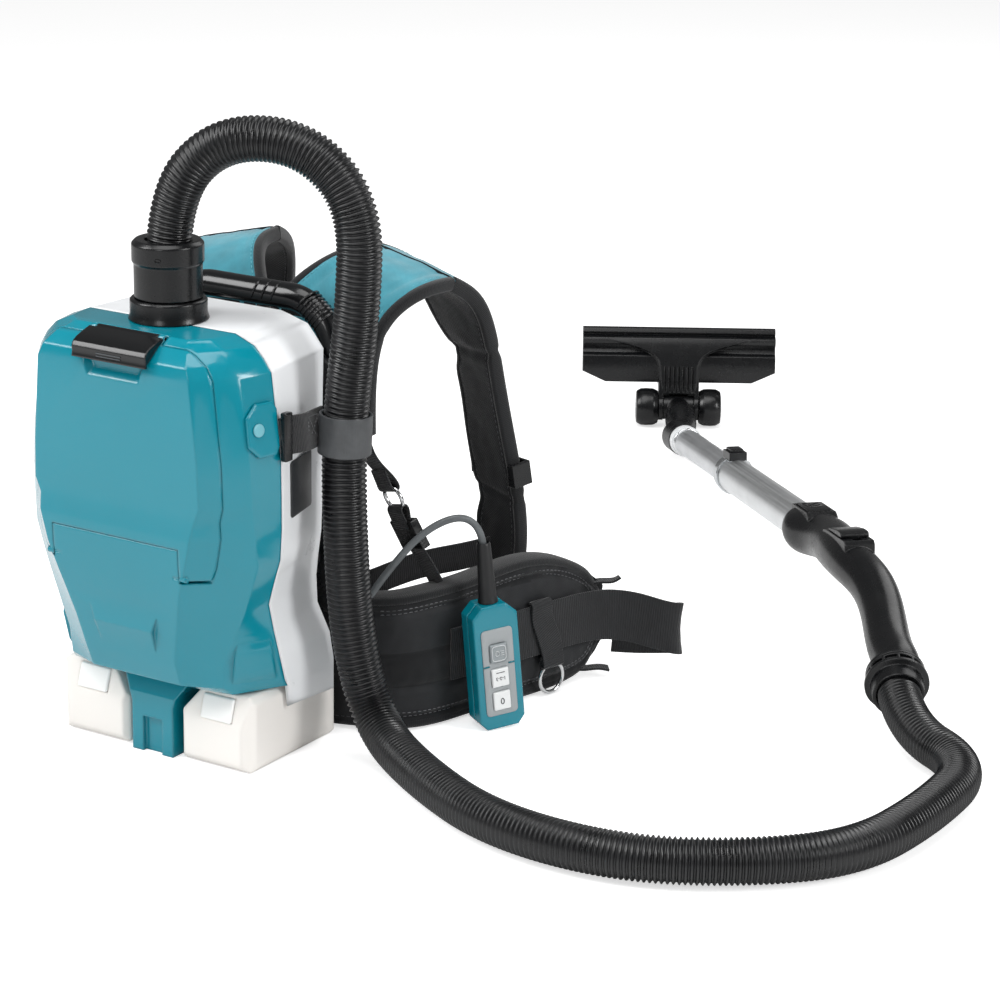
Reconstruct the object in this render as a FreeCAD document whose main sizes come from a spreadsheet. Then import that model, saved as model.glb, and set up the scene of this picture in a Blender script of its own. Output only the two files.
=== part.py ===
# Backpack vacuum cleaner: housing, two battery packs, harness, remote, hose, wand and floor nozzle.
# Millimetres. The origin is the centre of the foot under the housing. +Z is up, the lid faces -Y,
# the harness lies towards +Y, and +X is on the right of someone who looks at the lid.
import FreeCAD, Part
import math
import os
import Sketcher

Vector = FreeCAD.Vector
UP = Vector(0, 0, 1)

# Driving dimensions: alias, value. Angles are in degrees.
SIZES = [
    # Housing shells
    ("wall", 2.5), ("seam_gap", 0.3), ("lid_gap", 0.6),
    ("front_face_y", -73), ("side_width", 115), ("rear_width", 95), ("face_width", 85),
    ("crease_y", -40), ("split_y", -10), ("rear_y", 76), ("housing_top", 356),
    ("skirt_bottom", 47), ("front_bottom", 72), ("floor_top", 69), ("shelf_top", 171),
    # Foot
    ("foot_half_width", 20.5), ("foot_half_depth", 31), ("foot_neck_height", 46),
    ("foot_shoulder_half_width", 36), ("foot_recess_height", 30), ("foot_recess_half_width", 9.5),
    ("foot_recess_depth", 4), ("foot_bevel", 8),
    # Lid, its hinge and its latch
    ("lid_bottom", 170), ("lid_depth", 16), ("lid_side", 101), ("lid_top", 357),
    ("tongue_half_width", 62), ("tongue_top", 195), ("hinge_y", -70.5), ("hinge_z", 171.5),
    ("hinge_pin_radius", 1.5), ("hinge_pin_length", 6), ("bag_door_half_width", 68),
    ("bag_door_bottom", 196), ("bag_door_top", 326), ("seal_width", 5), ("latch_half_width", 36),
    ("latch_thickness", 3.2), ("latch_pin_radius", 1.6), ("latch_pivot_y", -51), ("latch_pivot_z", 351.5),
    ("latch_fold_y", -76.2), ("latch_fold_z", 347), ("latch_lip", 11),
    # Inlet and hose cuff
    ("inlet_y", -1), ("inlet_radius", 30.5), ("inlet_height", 17), ("inlet_bore", 19),
    ("spigot_radius", 22), ("spigot_length", 28), ("cuff_neck_radius", 27), ("cuff_ring_radius", 28.5),
    ("cuff_length", 44), ("cuff_ring_length", 18), ("cuff_tail_radius", 20), ("cuff_tail_length", 12),
    ("swivel_gap", 0.4),
    # Bag, filter and motor
    ("bag_plate_thickness", 3), ("bag_plate_half_width", 60), ("bag_half_width", 64), ("bag_depth", 88),
    ("bag_height", 124), ("filter_half_width", 54), ("filter_depth", 84), ("filter_height", 20),
    ("pleat_count", 9), ("motor_y", 5), ("motor_radius", 46), ("motor_height", 80), ("motor_wall", 3),
    ("shaft_radius", 4), ("bearing_radius", 11), ("bearing_width", 6), ("stator_radius", 34),
    ("stator_bore", 19), ("stator_height", 30), ("rotor_radius", 18), ("fan_radius", 39),
    ("fan_height", 13), ("blade_count", 9), ("blade_thickness", 2), ("running_gap", 0.05),
    ("board_width", 70), ("board_height", 60), ("board_thickness", 1.6), ("board_post", 6),
    # Battery packs
    ("pack_inner_x", 27), ("pack_width", 70), ("pack_front_y", -30), ("pack_length", 115),
    ("pack_height", 64), ("pack_shoulder", 41), ("pack_bevel", 18), ("pack_corner", 5),
    ("button_width", 30), ("button_height", 19), ("button_travel", 3), ("terminal_width", 34),
    ("terminal_length", 40), ("terminal_height", 4),
    # Hose keeper
    ("bracket_z", 288), ("bracket_height", 42), ("bracket_depth", 30), ("bracket_thickness", 3),
    ("keeper_z", 265), ("keeper_width", 32), ("keeper_thickness", 2.4),
    # Back frame and carrying handle
    ("frame_front_y", 88), ("frame_thickness", 6), ("frame_half_width", 92), ("frame_top", 322),
    ("frame_bottom", 6), ("frame_waist", 88), ("frame_boss_radius", 9), ("frame_boss_x", 58),
    ("frame_boss_low", 150), ("frame_boss_high", 300), ("window_half_width", 52), ("window_low", 150),
    ("window_high", 292), ("grip_radius", 11), ("grip_y", 107), ("grip_top", 358),
    ("grip_half_width", 80), ("grip_foot_z", 300), ("screw_radius", 2.4), ("screw_head_radius", 4.6),
    # Harness
    ("pad_thickness", 14), ("yoke_thickness", 12), ("yoke_half_width", 104), ("yoke_low", 248),
    ("webbing_thickness", 2), ("webbing_width", 25), ("belt_height", 118), ("belt_thickness", 26),
    ("ring_radius", 13), ("ring_wire", 1.7),
    # Remote control
    ("remote_width", 40), ("remote_length", 108), ("remote_depth", 24), ("remote_x", 193.5),
    ("remote_y", 179), ("remote_yaw", 57), ("remote_lean", 5.5), ("key_width", 15), ("key_height", 16),
    ("key_thickness", 2.2), ("key_travel", 1), ("cable_radius", 3), ("boot_length", 60),
    ("boot_radius", 8.5), ("boot_tip_radius", 5),
    # Hose
    ("hose_radius", 18), ("hose_bore", 14), ("rib_count", 190), ("rib_depth", 2.4),
    # Wand
    ("wand_x", -34), ("wand_y", 915), ("wand_z", 30), ("wand_yaw", -46.24), ("wand_rise", 5.93),
    ("tube_outer_radius", 17.5), ("tube_inner_radius", 14), ("tube_wall", 1), ("collar_start", 163),
    ("collar_length", 16), ("handle_start", 426), ("tube_overlap", 34), ("inner_tube_length", 352),
    ("band_length", 9), ("lock_height", 9), ("lock_travel", 2.5), ("grip_wall", 2.5),
    ("grip_tube_radius", 20), ("cuff_end_radius", 27), ("slider_travel", 8), ("release_travel", 1.5),
    # Floor nozzle
    ("nozzle_x", -132), ("nozzle_y", 1064), ("nozzle_yaw", 32.25), ("nozzle_lean", 75),
    ("roller_radius", 20.5), ("roller_width", 24), ("axle_radius", 3), ("ear_inner", 17),
    ("ear_outer", 22), ("ear_radius", 14.5), ("barrel_radius", 13.5), ("head_half_width", 106),
    ("head_rear", 27), ("head_front", 88), ("head_base", -19), ("head_top", 9),
    ("mouth_depth", 9), ("mouth_half_width", 94), ("neck_rib_count", 7),
]


class Size:
    """A number with the expression that gives it, so that sums of sizes stay bound to the sheet."""

    def __init__(self, value, text):
        self.value = float(value)
        self.text = text

    def join(self, other, sign, value):
        return Size(value, "(%s %s %s)" % (self.text, sign, other.text))

    def __add__(self, other):
        other = as_size(other)
        return self.join(other, "+", self.value + other.value)

    def __radd__(self, other):
        return as_size(other) + self

    def __sub__(self, other):
        other = as_size(other)
        return self.join(other, "-", self.value - other.value)

    def __rsub__(self, other):
        return as_size(other) - self

    def __mul__(self, other):
        other = as_size(other)
        return self.join(other, "*", self.value * other.value)

    def __rmul__(self, other):
        return as_size(other) * self

    def __truediv__(self, other):
        other = as_size(other)
        return self.join(other, "/", self.value / other.value)

    def __neg__(self):
        return as_size(0) - self

    def __float__(self):
        return self.value


def as_size(number):
    if isinstance(number, Size):
        return number
    return Size(number, "%.6f" % float(number))


class Sheet:
    """The sizes of the sheet, by name: sheet.wall is a Size, and plain.wall its number."""

    def __init__(self, cells, plain):
        for alias, value in cells:
            size = Size(value, "Sizes." + alias)
            setattr(self, alias, float(size) if plain else size)


doc = FreeCAD.newDocument("backpack_vacuum")
cells = doc.addObject("Spreadsheet::Sheet", "Sizes")
for row, (alias, value) in enumerate(SIZES, start=1):
    cells.set("A%d" % row, alias)
    cells.set("B%d" % row, str(value))
    cells.setAlias("B%d" % row, alias)
doc.recompute()
READ = [(alias, cells.get(alias)) for alias, value in SIZES]
s = Sheet(READ, plain=False)
d = Sheet(READ, plain=True)
nodes = []


# Helpers for bodies, primitives and placements

def node(item, name):
    """Name a finished sub-part and list it for the export."""
    item.Label = name
    nodes.append(item)
    return item


def place(item, x=0, y=0, z=0, yaw=0, pitch=0, roll=0):
    x, y, z, yaw, pitch, roll = [as_size(value).text for value in (x, y, z, yaw, pitch, roll)]
    item.setExpression("Placement", "create(<<placement>>; create(<<vector>>; %s; %s; %s); "
                       "create(<<rotation>>; %s; %s; %s))" % (x, y, z, yaw, pitch, roll))
    return item


def origin_feature(body, role):
    return [item for item in body.Origin.OriginFeatures if item.Role == role][0]


def outline_sketch(body, plane, points):
    """A closed outline whose every corner is held by two named distances from the origin."""
    sketch = body.newObject("Sketcher::SketchObject", "Outline")
    sketch.AttachmentSupport = [(origin_feature(body, plane), "")]
    sketch.MapMode = "FlatFace"
    corners = [(as_size(x), as_size(y)) for x, y in points]
    count = len(corners)
    spots = [Vector(x.value, y.value, 0) for x, y in corners]
    sketch.addGeometry([Part.LineSegment(spots[i], spots[(i + 1) % count]) for i in range(count)], False)
    for index in range(count):
        sketch.addConstraint(Sketcher.Constraint("Coincident", index, 2, (index + 1) % count, 1))
    for index, corner in enumerate(corners):
        for kind, letter, size, axis in (("DistanceX", "x", corner[0], -2), ("DistanceY", "y", corner[1],
                                                                             -1)):
            if size.value == 0:
                sketch.addConstraint(Sketcher.Constraint("PointOnObject", index, 1, axis))
                continue
            number = sketch.addConstraint(Sketcher.Constraint(kind, -1, 1, index, 1, size.value))
            label = "%s%d" % (letter, index)
            sketch.renameConstraint(number, label)
            sketch.setExpression("Constraints." + label, size.text)
    return sketch


def new_body():
    return doc.addObject("PartDesign::Body", "Body")


def pad(body, plane, points, length, low=0):
    """Pad an outline from low to low + length along the plane's normal."""
    sketch = outline_sketch(body, plane, points)
    sketch.setExpression("AttachmentOffset.Base.z", as_size(low).text)
    feature = body.newObject("PartDesign::Pad", "Pad")
    feature.Profile = sketch
    feature.setExpression("Length", as_size(length).text)
    return feature


def pocket(body, plane, points, length, low=0):
    """Cut an outline from low to low + length along the plane's normal."""
    sketch = outline_sketch(body, plane, points)
    sketch.setExpression("AttachmentOffset.Base.z", as_size(low).text)
    feature = body.newObject("PartDesign::Pocket", "Pocket")
    feature.Profile = sketch
    feature.Reversed = True
    feature.setExpression("Length", as_size(length).text)
    return feature


def turn(body, plane, points, axis):
    """Turn an outline about one of the body's own axes."""
    sketch = outline_sketch(body, plane, points)
    feature = body.newObject("PartDesign::Revolution", "Revolution")
    feature.Profile = sketch
    feature.ReferenceAxis = (origin_feature(body, axis), [""])
    feature.Angle = 360
    return feature


def rectangle(x0, y0, x1, y1):
    return [(x0, y0), (x1, y0), (x1, y1), (x0, y1)]


def box(length, width, height, x, y, z, **angles):
    item = doc.addObject("Part::Box", "Box")
    for name, size in (("Length", length), ("Width", width), ("Height", height)):
        item.setExpression(name, as_size(size).text)
    return place(item, x, y, z, **angles)


def cylinder(radius, height, x, y, z, **angles):
    item = doc.addObject("Part::Cylinder", "Cylinder")
    item.setExpression("Radius", as_size(radius).text)
    item.setExpression("Height", as_size(height).text)
    return place(item, x, y, z, **angles)


def cut(base, tool):
    item = doc.addObject("Part::Cut", "Cut")
    item.Base = base
    item.Tool = tool
    return item


def fuse(pieces):
    item = doc.addObject("Part::MultiFuse", "Fuse")
    item.Shapes = pieces
    item.Refine = True
    return item


def group(pieces):
    item = doc.addObject("Part::Compound", "Group")
    item.Links = pieces
    return item


def shaped(shape):
    """A sub-part whose shape is worked out here, from the sheet's numbers."""
    item = doc.addObject("Part::Feature", "Shaped")
    item.Shape = shape
    return item


def polygon(points):
    return Part.makePolygon(points + [points[0]])


def facet_loft(sections):
    """A faceted solid through closed sections with the same number of corners."""
    return Part.makeLoft([polygon(section) for section in sections], True, True)


def prism(points, direction):
    return Part.Face(polygon(points)).extrude(direction)


def rounded_section(centre, across, through, width, thickness, edge):
    """A rounded rectangle with its corners drawn in to arcs of radius edge."""
    across = Vector(across).normalize()
    through = Vector(through).normalize()
    half_w, half_t = width / 2, thickness / 2
    edge = min(edge, half_t * 0.96, half_w * 0.96)
    short_w, short_t = half_w - edge, half_t - edge
    lean = edge * math.sqrt(0.5)

    def spot(a, b):
        return centre + across * a + through * b

    parts = []
    corners = [(1, -1), (1, 1), (-1, 1), (-1, -1)]
    for sign_w, sign_t in corners:
        side = spot(sign_w * half_w, sign_t * short_t)
        middle = spot(sign_w * (short_w + lean), sign_t * (short_t + lean))
        end = spot(sign_w * short_w, sign_t * half_t)
        first, last = (side, end) if sign_w * sign_t > 0 else (end, side)
        parts.append((first, middle, last))
    edges = []
    for index, (first, middle, last) in enumerate(parts):
        edges.append(Part.Arc(first, middle, last).toShape())
        edges.append(Part.LineSegment(last, parts[(index + 1) % 4][0]).toShape())
    return Part.Wire(edges)


def band_loft(stations):
    """A padded band: each station is centre, across, through, width, thickness, edge."""
    return Part.makeLoft([rounded_section(*station) for station in stations], True, False)


def strip(points, across, width, thickness):
    """Flat webbing of one width that follows points, its broad side turned by across."""
    across = Vector(across).normalize()
    sections = []
    for index, spot in enumerate(points):
        ways = []
        if index > 0:
            ways.append((spot - points[index - 1]).normalize())
        if index < len(points) - 1:
            ways.append((points[index + 1] - spot).normalize())
        ahead = (ways[0] + ways[-1]).normalize()
        through = ahead.cross(across).normalize() * (thickness / 2 / max(ahead.dot(ways[0]), 0.3))
        side = across * (width / 2)
        sections.append([spot - side - through, spot + side - through, spot + side + through,
                         spot - side + through])
    return facet_loft(sections)


def rounded_route(points):
    """Straight runs joined by tangent arcs, each as large as its two runs allow."""
    edges = []
    radii = []
    start = points[0]
    for before, corner, after in zip(points, points[1:], points[2:]):
        back = before - corner
        ahead = after - corner
        half_turn = (math.pi - back.getAngle(ahead)) / 2
        reach = 0.45 * min(back.Length, ahead.Length)
        radii.append(reach / math.tan(half_turn))
        first = corner + back.normalize() * reach
        last = corner + ahead.normalize() * reach
        middle_way = (back + ahead).normalize()
        gap = radii[-1] / math.cos(half_turn) - radii[-1]
        middle = corner + middle_way * gap
        edges.append(Part.LineSegment(start, first).toShape())
        edges.append(Part.Arc(first, middle, last).toShape())
        start = last
    edges.append(Part.LineSegment(start, points[-1]).toShape())
    return edges, radii


def along_route(edges, distance):
    """The point and direction at a distance along the route's edges."""
    for edge in edges:
        if distance <= edge.Length or edge is edges[-1]:
            spot = edge.getParameterByLength(min(distance, edge.Length))
            return edge.valueAt(spot), edge.tangentAt(spot).normalize()
        distance -= edge.Length


def tube(edges, radius):
    """A plain round cord along a route."""
    first = edges[0]
    section = Part.Wire(Part.makeCircle(radius, first.valueAt(first.FirstParameter),
                                        first.tangentAt(first.FirstParameter)))
    return Part.Wire(edges).makePipeShell([section], True, False)


# Housing shells

# Half sections of the housing by height: face corner, crease, split line, rear corner, rear bevel.
HOUSING = [
    (47, 40, -33, 79, -29, 100, 16, 106, 72, 95, 79),
    (66.5, 42, -35, 80, -29, 103, 13, 106, 72, 95, 79),
    (73, 44, -50, 77, -36, 104, 8, 106, 72, 95, 79),
    (95, 45, -58, 78, -38, 105, 0, 102, 72, 92, 79),
    (118, 50, -62, 88, -37, 103, -5, 90, 72, 81, 77),
    (141, 56, -67, 98, -36, 102, -10, 89, 72, 80, 77),
    (159, 61, -71, 104.5, -36, 107, -10, 91, 72, 82, 77),
    (180, 68, -73.5, 111, -36, 113.5, -10, 94, 72, 84, 77),
    (205, 74, -74.5, 110.5, -38, 115, -10, 95, 72, 84, 77),
    (218, 76, -71, 109.5, -39, 115, -10, 95, 72, 84, 77),
    (230, 81, -71, 109, -40, 115, -10, 95, 72, 84, 77),
    (262, 80, -71.3, 107.5, -40, 114.5, -10, 95, 72, 84, 77),
    (330, 74, -72.2, 98, -40, 106, -10, 95, 74, 80, 78),
    (340, 70, -70.5, 91, -41, 99, -10, 88, 73, 74, 77),
    (349, 64, -60.5, 83, -39, 90, -10, 82, 71, 68, 75),
    (356, 54, -48, 68, -36, 72, -10, 66, 66, 56, 71),
]
# The sheet's widths and depths stretch the sections from the values they were drawn at.
WIDTH_SCALE = d.side_width / 115
DEPTH_SCALE = d.rear_y / 76


def housing_row(z):
    """The half section at any height, drawn between the listed ones."""
    rows = HOUSING
    if z <= rows[0][0]:
        return rows[0][1:]
    for low, high in zip(rows, rows[1:]):
        if z <= high[0]:
            share = (z - low[0]) / (high[0] - low[0])
            return [a + (b - a) * share for a, b in zip(low[1:], high[1:])]
    return rows[-1][1:]


def inset(points, amounts):
    """Move each side of a closed outline inwards by its amount, by the outline's own winding."""
    count = len(points)
    area = sum(points[i][0] * points[(i + 1) % count][1] - points[(i + 1) % count][0] * points[i][1]
               for i in range(count))
    turn_sign = 1 if area > 0 else -1
    sides = []
    for index in range(count):
        (ax, ay), (bx, by) = points[index], points[(index + 1) % count]
        length = math.hypot(bx - ax, by - ay)
        nx, ny = -(by - ay) / length * turn_sign, (bx - ax) / length * turn_sign
        amount = amounts[index]
        sides.append((ax + nx * amount, ay + ny * amount, bx - ax, by - ay))
    result = []
    for index in range(count):
        px, py, rx, ry = sides[index - 1]
        qx, qy, tx, ty = sides[index]
        cross = rx * ty - ry * tx
        step = ((qx - px) * ty - (qy - py) * tx) / cross
        result.append((px + rx * step, py + ry * step))
    return result


def front_outline(z):
    fx, fy, bx, by, mx, my, rx, ry, cx, cy = housing_row(z)
    half = [(fx, fy), (bx, by), (mx, my - d.seam_gap / 2)]
    return [(-x, y) for x, y in half] + half[::-1]


def rear_outline(z):
    fx, fy, bx, by, mx, my, rx, ry, cx, cy = housing_row(z)
    half = [(mx, my + d.seam_gap / 2), (rx, ry), (cx, cy)]
    return [(-x, y) for x, y in half] + half[::-1]


def section_at(outline, z):
    return [Vector(x * WIDTH_SCALE, y * DEPTH_SCALE, z) for x, y in outline]


def shell_heights(low, high):
    return [low] + [row[0] for row in HOUSING if low + 0.5 < row[0] < high - 0.5] + [high]


def outer_loft(outline, low, high):
    return facet_loft([section_at(outline(z), z) for z in shell_heights(low, high)])


def inner_loft(outline, amounts, low, high):
    return facet_loft([section_at(inset(outline(z), amounts), z) for z in shell_heights(low, high)])


# Side by side round each outline, with the open side at the split taken outwards
WALL = d.wall
FRONT_WALLS = [WALL, WALL, -3, WALL, WALL, WALL]
REAR_WALLS = [WALL, WALL, WALL, WALL, WALL, -3]
INNER_TOP = d.housing_top - WALL

front_outer = outer_loft(front_outline, 66.5, d.housing_top)
front_inner = inner_loft(front_outline, FRONT_WALLS, d.floor_top, INNER_TOP)
rear_outer = outer_loft(rear_outline, d.skirt_bottom, d.housing_top)
rear_inner = inner_loft(rear_outline, REAR_WALLS, d.floor_top, INNER_TOP)

# Lid outline on the front, right half from the top centre down to the tongue
LID_HALF = [(69, 353), (82, 346), (90, 322), (96, 289), (98, 255), (101, 223), (100, 193),
            (82, 170), (62.7, 170), (62.7, 195.5)]


def lid_outline(grow, bottom):
    """The lid's outline, grown on all sides, with the bottom of its legs at a given height."""
    half = [(x, bottom if z == 170 else z) for x, z in LID_HALF]
    loop = half + [(-x, z) for x, z in half[::-1]]
    return inset(loop, [-grow] * len(loop)) if grow else loop


def front_prism(points, y0, y1):
    return prism([Vector(x, y0, z) for x, z in points], Vector(0, y1 - y0, 0))


GAP = d.lid_gap
deck_y = -57 + GAP
lid_pocket = front_prism(lid_outline(GAP, 168), -100, deck_y)
lid_walls = front_prism(lid_outline(GAP + WALL, 168), -100, deck_y + WALL)
tab_pocket = Part.makeBox(74, 13, 30, Vector(-37, -59.5, 342))
tab_walls = Part.makeBox(79, 17, 40, Vector(-39.5, -61, 339))
latch_slot = Part.makeBox(20.8, 8, 7.4, Vector(-10.4, -48, 346))
door = Part.makeBox(2 * d.bag_door_half_width, 6, 120, Vector(-d.bag_door_half_width, deck_y - 1, 206))
boss = Part.makeBox(8, 9, 9, Vector(53.9, -73, 167.5))
hinge_bore = Part.makeCylinder(d.hinge_pin_radius + d.running_gap, 30,
                               Vector(56, d.hinge_y, d.hinge_z), Vector(1, 0, 0))
other_boss = Part.makeBox(8, 9, 9, Vector(-61.9, -73, 167.5))
other_bore = Part.makeCylinder(d.hinge_pin_radius + d.running_gap, 30,
                               Vector(-56, d.hinge_y, d.hinge_z), Vector(-1, 0, 0))
inlet_hole = Part.makeCylinder(d.spigot_radius + 0.4, 30, Vector(0, d.inlet_y, 340))

front_cavity = front_inner.cut(lid_walls).cut(tab_walls)
front_shell = front_outer.cut(front_cavity).fuse([boss.common(front_outer), other_boss.common(front_outer)])
front_shell = front_shell.cut([lid_pocket, tab_pocket, latch_slot, door, hinge_bore, other_bore, inlet_hole])
# A ledge low on the tongue, and one on each flank below the lid
facet = facet_loft([
    [Vector(-27, -55.6, 97), Vector(27, -55.6, 97), Vector(27, -57.8, 97), Vector(-27, -57.8, 97)],
    [Vector(-29, -60, 119), Vector(29, -60, 119), Vector(29, -66.4, 119), Vector(-29, -66.4, 119)],
    [Vector(-34, -61, 133), Vector(34, -61, 133), Vector(34, -65, 133), Vector(-34, -65, 133)]])


def flank(z, out, side):
    """Four corners of a ledge on the flank between crease and split line, standing out by a distance."""
    row = housing_row(z)
    crease, split = Vector(row[2], row[3], z), Vector(row[4], row[5], z)
    along = split - crease
    across = Vector(along.y, -along.x, 0).normalize()
    corners = [crease + along * 0.14 + across * out, crease + along * 0.86 + across * out,
               crease + along * 0.86 - across * 1.4, crease + along * 0.14 - across * 1.4]
    return [Vector(corner.x * side * WIDTH_SCALE, corner.y * DEPTH_SCALE, z) for corner in corners]


ledges = [facet]
for side in (-1, 1):
    ledges.append(facet_loft([flank(z, out, side) for z, out in ((76, 0.1), (82, 2.6), (104, 3), (112,
                                                                                                  -0.2))]))
front_shell = front_shell.fuse(ledges).removeSplitter()
node(shaped(front_shell), "front_housing")

shelf_z = d.shelf_top - 3
shelf = Part.makeBox(240, 92, 3, Vector(-120, -10 + d.seam_gap / 2, shelf_z)).common(rear_outer)
shelf_front = Part.makeBox(170, 40, 3, Vector(-85, -45, shelf_z))
fan_hole = Part.makeCylinder(38, 6, Vector(0, d.motor_y, shelf_z - 1))
pack_bay = Part.makeBox(200, 200, 60, Vector(-100, -100, 66.5 - 60))
fixings = []
fixing_holes = []
frame_holes = []
for x in (-d.frame_boss_x - 14, d.frame_boss_x + 14):
    for z in (d.frame_boss_low, 262):
        fixings.append(Part.makeCylinder(7, 14, Vector(x, 62, z), Vector(0, 1, 0)))
        fixing_holes.append(Part.makeCylinder(d.screw_radius + 0.3, 40, Vector(x, 64, z), Vector(0, 1, 0)))
        frame_holes.append((x, z))
posts = []
for x in (-29, 29):
    for z in (98, 152):
        posts.append(Part.makeCylinder(3, 76 - 64.1, Vector(x, 64.1, z), Vector(0, 1, 0)))
rear_shell = rear_outer.cut(rear_inner).fuse([shelf, shelf_front]).cut([fan_hole, pack_bay, inlet_hole])
rear_shell = rear_shell.fuse([item.common(rear_outer) for item in fixings + posts]).cut(fixing_holes)
node(shaped(rear_shell.removeSplitter()), "rear_housing")

# Four screws hold the back frame to the rear shell
screws = []
for x, z in frame_holes:
    screws.append(cylinder(s.screw_radius, 29, x, s.frame_front_y + s.frame_thickness + 1, z, roll=90))
    screws.append(cylinder(s.screw_head_radius, 3, x, s.frame_front_y + s.frame_thickness + 3.3, z, roll=90))
node(group([fuse(screws[i:i + 2]) for i in range(0, len(screws), 2)]), "housing_screws")

# Foot between the battery packs
leg = new_body()
leg_half = [(s.foot_half_width, 0), (s.foot_half_width, s.foot_neck_height - 4),
            (s.foot_half_width + 2.5, s.foot_neck_height + 4), (s.foot_shoulder_half_width - 4, 63),
            (s.foot_shoulder_half_width, 66.2)]
leg_outline = leg_half + [(-x, z) for x, z in leg_half[::-1]]
pad(leg, "XZ_Plane", leg_outline, 2 * s.foot_half_depth, -s.foot_half_depth)
pocket(leg, "XZ_Plane", rectangle(-s.foot_recess_half_width, -1, s.foot_recess_half_width,
                                  s.foot_recess_height),
       s.foot_recess_depth + 1, s.foot_half_depth - s.foot_recess_depth)
pocket(leg, "YZ_Plane", [(-s.foot_half_depth - 1, 48), (-s.foot_half_depth - 1, 67),
                         (-s.foot_half_depth + s.foot_bevel, 67)], 80, -40)
node(leg, "centre_leg")


# Inlet and hose cuff

collar = new_body()
collar_base = s.housing_top + 0.3
collar_top = s.housing_top + s.inlet_height + 0.3
socket_z = collar_base + 4
socket_radius = s.spigot_radius + 3
turn(collar, "XZ_Plane", [
    (s.inlet_bore, s.housing_top - s.spigot_length), (s.spigot_radius, s.housing_top - s.spigot_length),
    (s.spigot_radius, collar_base), (s.inlet_radius + 1.5, collar_base), (s.inlet_radius, collar_base + 5),
    (s.inlet_radius, collar_top - 1.5), (s.inlet_radius - 1.5, collar_top), (socket_radius, collar_top),
    (socket_radius, socket_z), (s.inlet_bore, socket_z)], "Z_Axis")
node(place(collar, 0, s.inlet_y, 0), "inlet_collar")

cuff = new_body()
cuff_base = collar_top + s.swivel_gap
ring_base = cuff_base + 27
cuff_top = cuff_base + s.cuff_length + 2
tail_radius = socket_radius - s.running_gap
hose_seat = cuff_base + 16
turn(cuff, "XZ_Plane", [
    (s.inlet_bore, socket_z + 0.4), (tail_radius, socket_z + 0.4), (tail_radius, cuff_base),
    (s.cuff_neck_radius, cuff_base), (s.cuff_neck_radius, ring_base), (s.cuff_ring_radius, ring_base + 1.5),
    (s.cuff_ring_radius, cuff_top - 3), (s.cuff_ring_radius - 3, cuff_top), (s.hose_radius + 0.3, cuff_top),
    (s.hose_radius + 0.3, hose_seat), (s.inlet_bore - 4, hose_seat), (s.inlet_bore - 4, cuff_base)], "Z_Axis")
node(place(cuff, 0, s.inlet_y, 0), "hose_cuff")


# Lid, seal and latch

lid_outer = front_outer.common(front_prism(lid_outline(0, 170), -100, -57))
lid_shell = lid_outer.cut(front_inner)
tab = front_outer.cut(front_inner).common(Part.makeBox(72, 9.4, 40, Vector(-36, -57.2, 341)))
tab = tab.cut(Part.makeBox(60.8, 8, 40, Vector(-30.4, -53.8, 330)))
RIM_OUT = rectangle(-76, 199, 76, 333)
RIM_IN = rectangle(-71, 204, 71, 328)
rim = front_prism(RIM_OUT, -80, -60.4).cut(front_prism(RIM_IN, -81, -60)).common(front_outer)
lid_parts = [tab, rim]
pivot_y, pivot_z = d.latch_pivot_y + 0.5, d.latch_pivot_z + 2.7
for side in (-1, 1):
    near = min(side * 30.4, side * 35.8)
    lid_parts.append(Part.makeBox(5.4, 5.6, 10, Vector(near, pivot_y - 5.6,
                                                       pivot_z - 10)).common(front_outer))
    lid_parts.append(Part.makeCylinder(2.9, 5.4, Vector(near, pivot_y, pivot_z), Vector(1, 0, 0)))
    near = min(side * 62.9, side * 69)
    lid_parts.append(Part.makeCylinder(2.6, 6.1, Vector(near, d.hinge_y, d.hinge_z), Vector(1, 0, 0)))
    near = min(side * 56.8, side * 63)
    lid_parts.append(Part.makeCylinder(d.hinge_pin_radius, 6.2, Vector(near, d.hinge_y, d.hinge_z),
                                       Vector(1, 0, 0)))
lid_shell = lid_shell.fuse(lid_parts)


def finger_room(grow, y0, y1):
    """The recess under the latch's lip, for a fingertip."""
    outer_ring = [(-31.5, 338.5), (31.5, 338.5), (26, 321), (-26, 321)]
    inner_ring = [(-28, 337.5), (28, 337.5), (21, 328), (-21, 328)]
    return facet_loft([[Vector(x, y, z) for x, z in inset(ring, [-grow] * 4)]
                       for ring, y in ((outer_ring, y0), (inner_ring, y1))])


lid_shell = lid_shell.fuse(finger_room(2, -73.4, -64.4).common(front_outer)).cut(finger_room(0, -73, -66.4))
latch_bore = Part.makeCylinder(d.latch_pin_radius + d.running_gap, 80, Vector(-40, pivot_y, pivot_z),
                               Vector(1, 0, 0))
latch_room = Part.makeCylinder(3.3, 60.8, Vector(-30.4, pivot_y, pivot_z), Vector(1, 0, 0))
lid_shell = lid_shell.cut([latch_bore, latch_room]).removeSplitter()
node(shaped(lid_shell), "lid")

seal = front_prism(rectangle(-75.5, 199.5, 75.5, 332.5), -60.1, deck_y - 0.3)
seal = seal.cut(front_prism(rectangle(-71.5, 203.5, 71.5, 328.5), -61, -50))
node(shaped(seal), "lid_seal")

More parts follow.
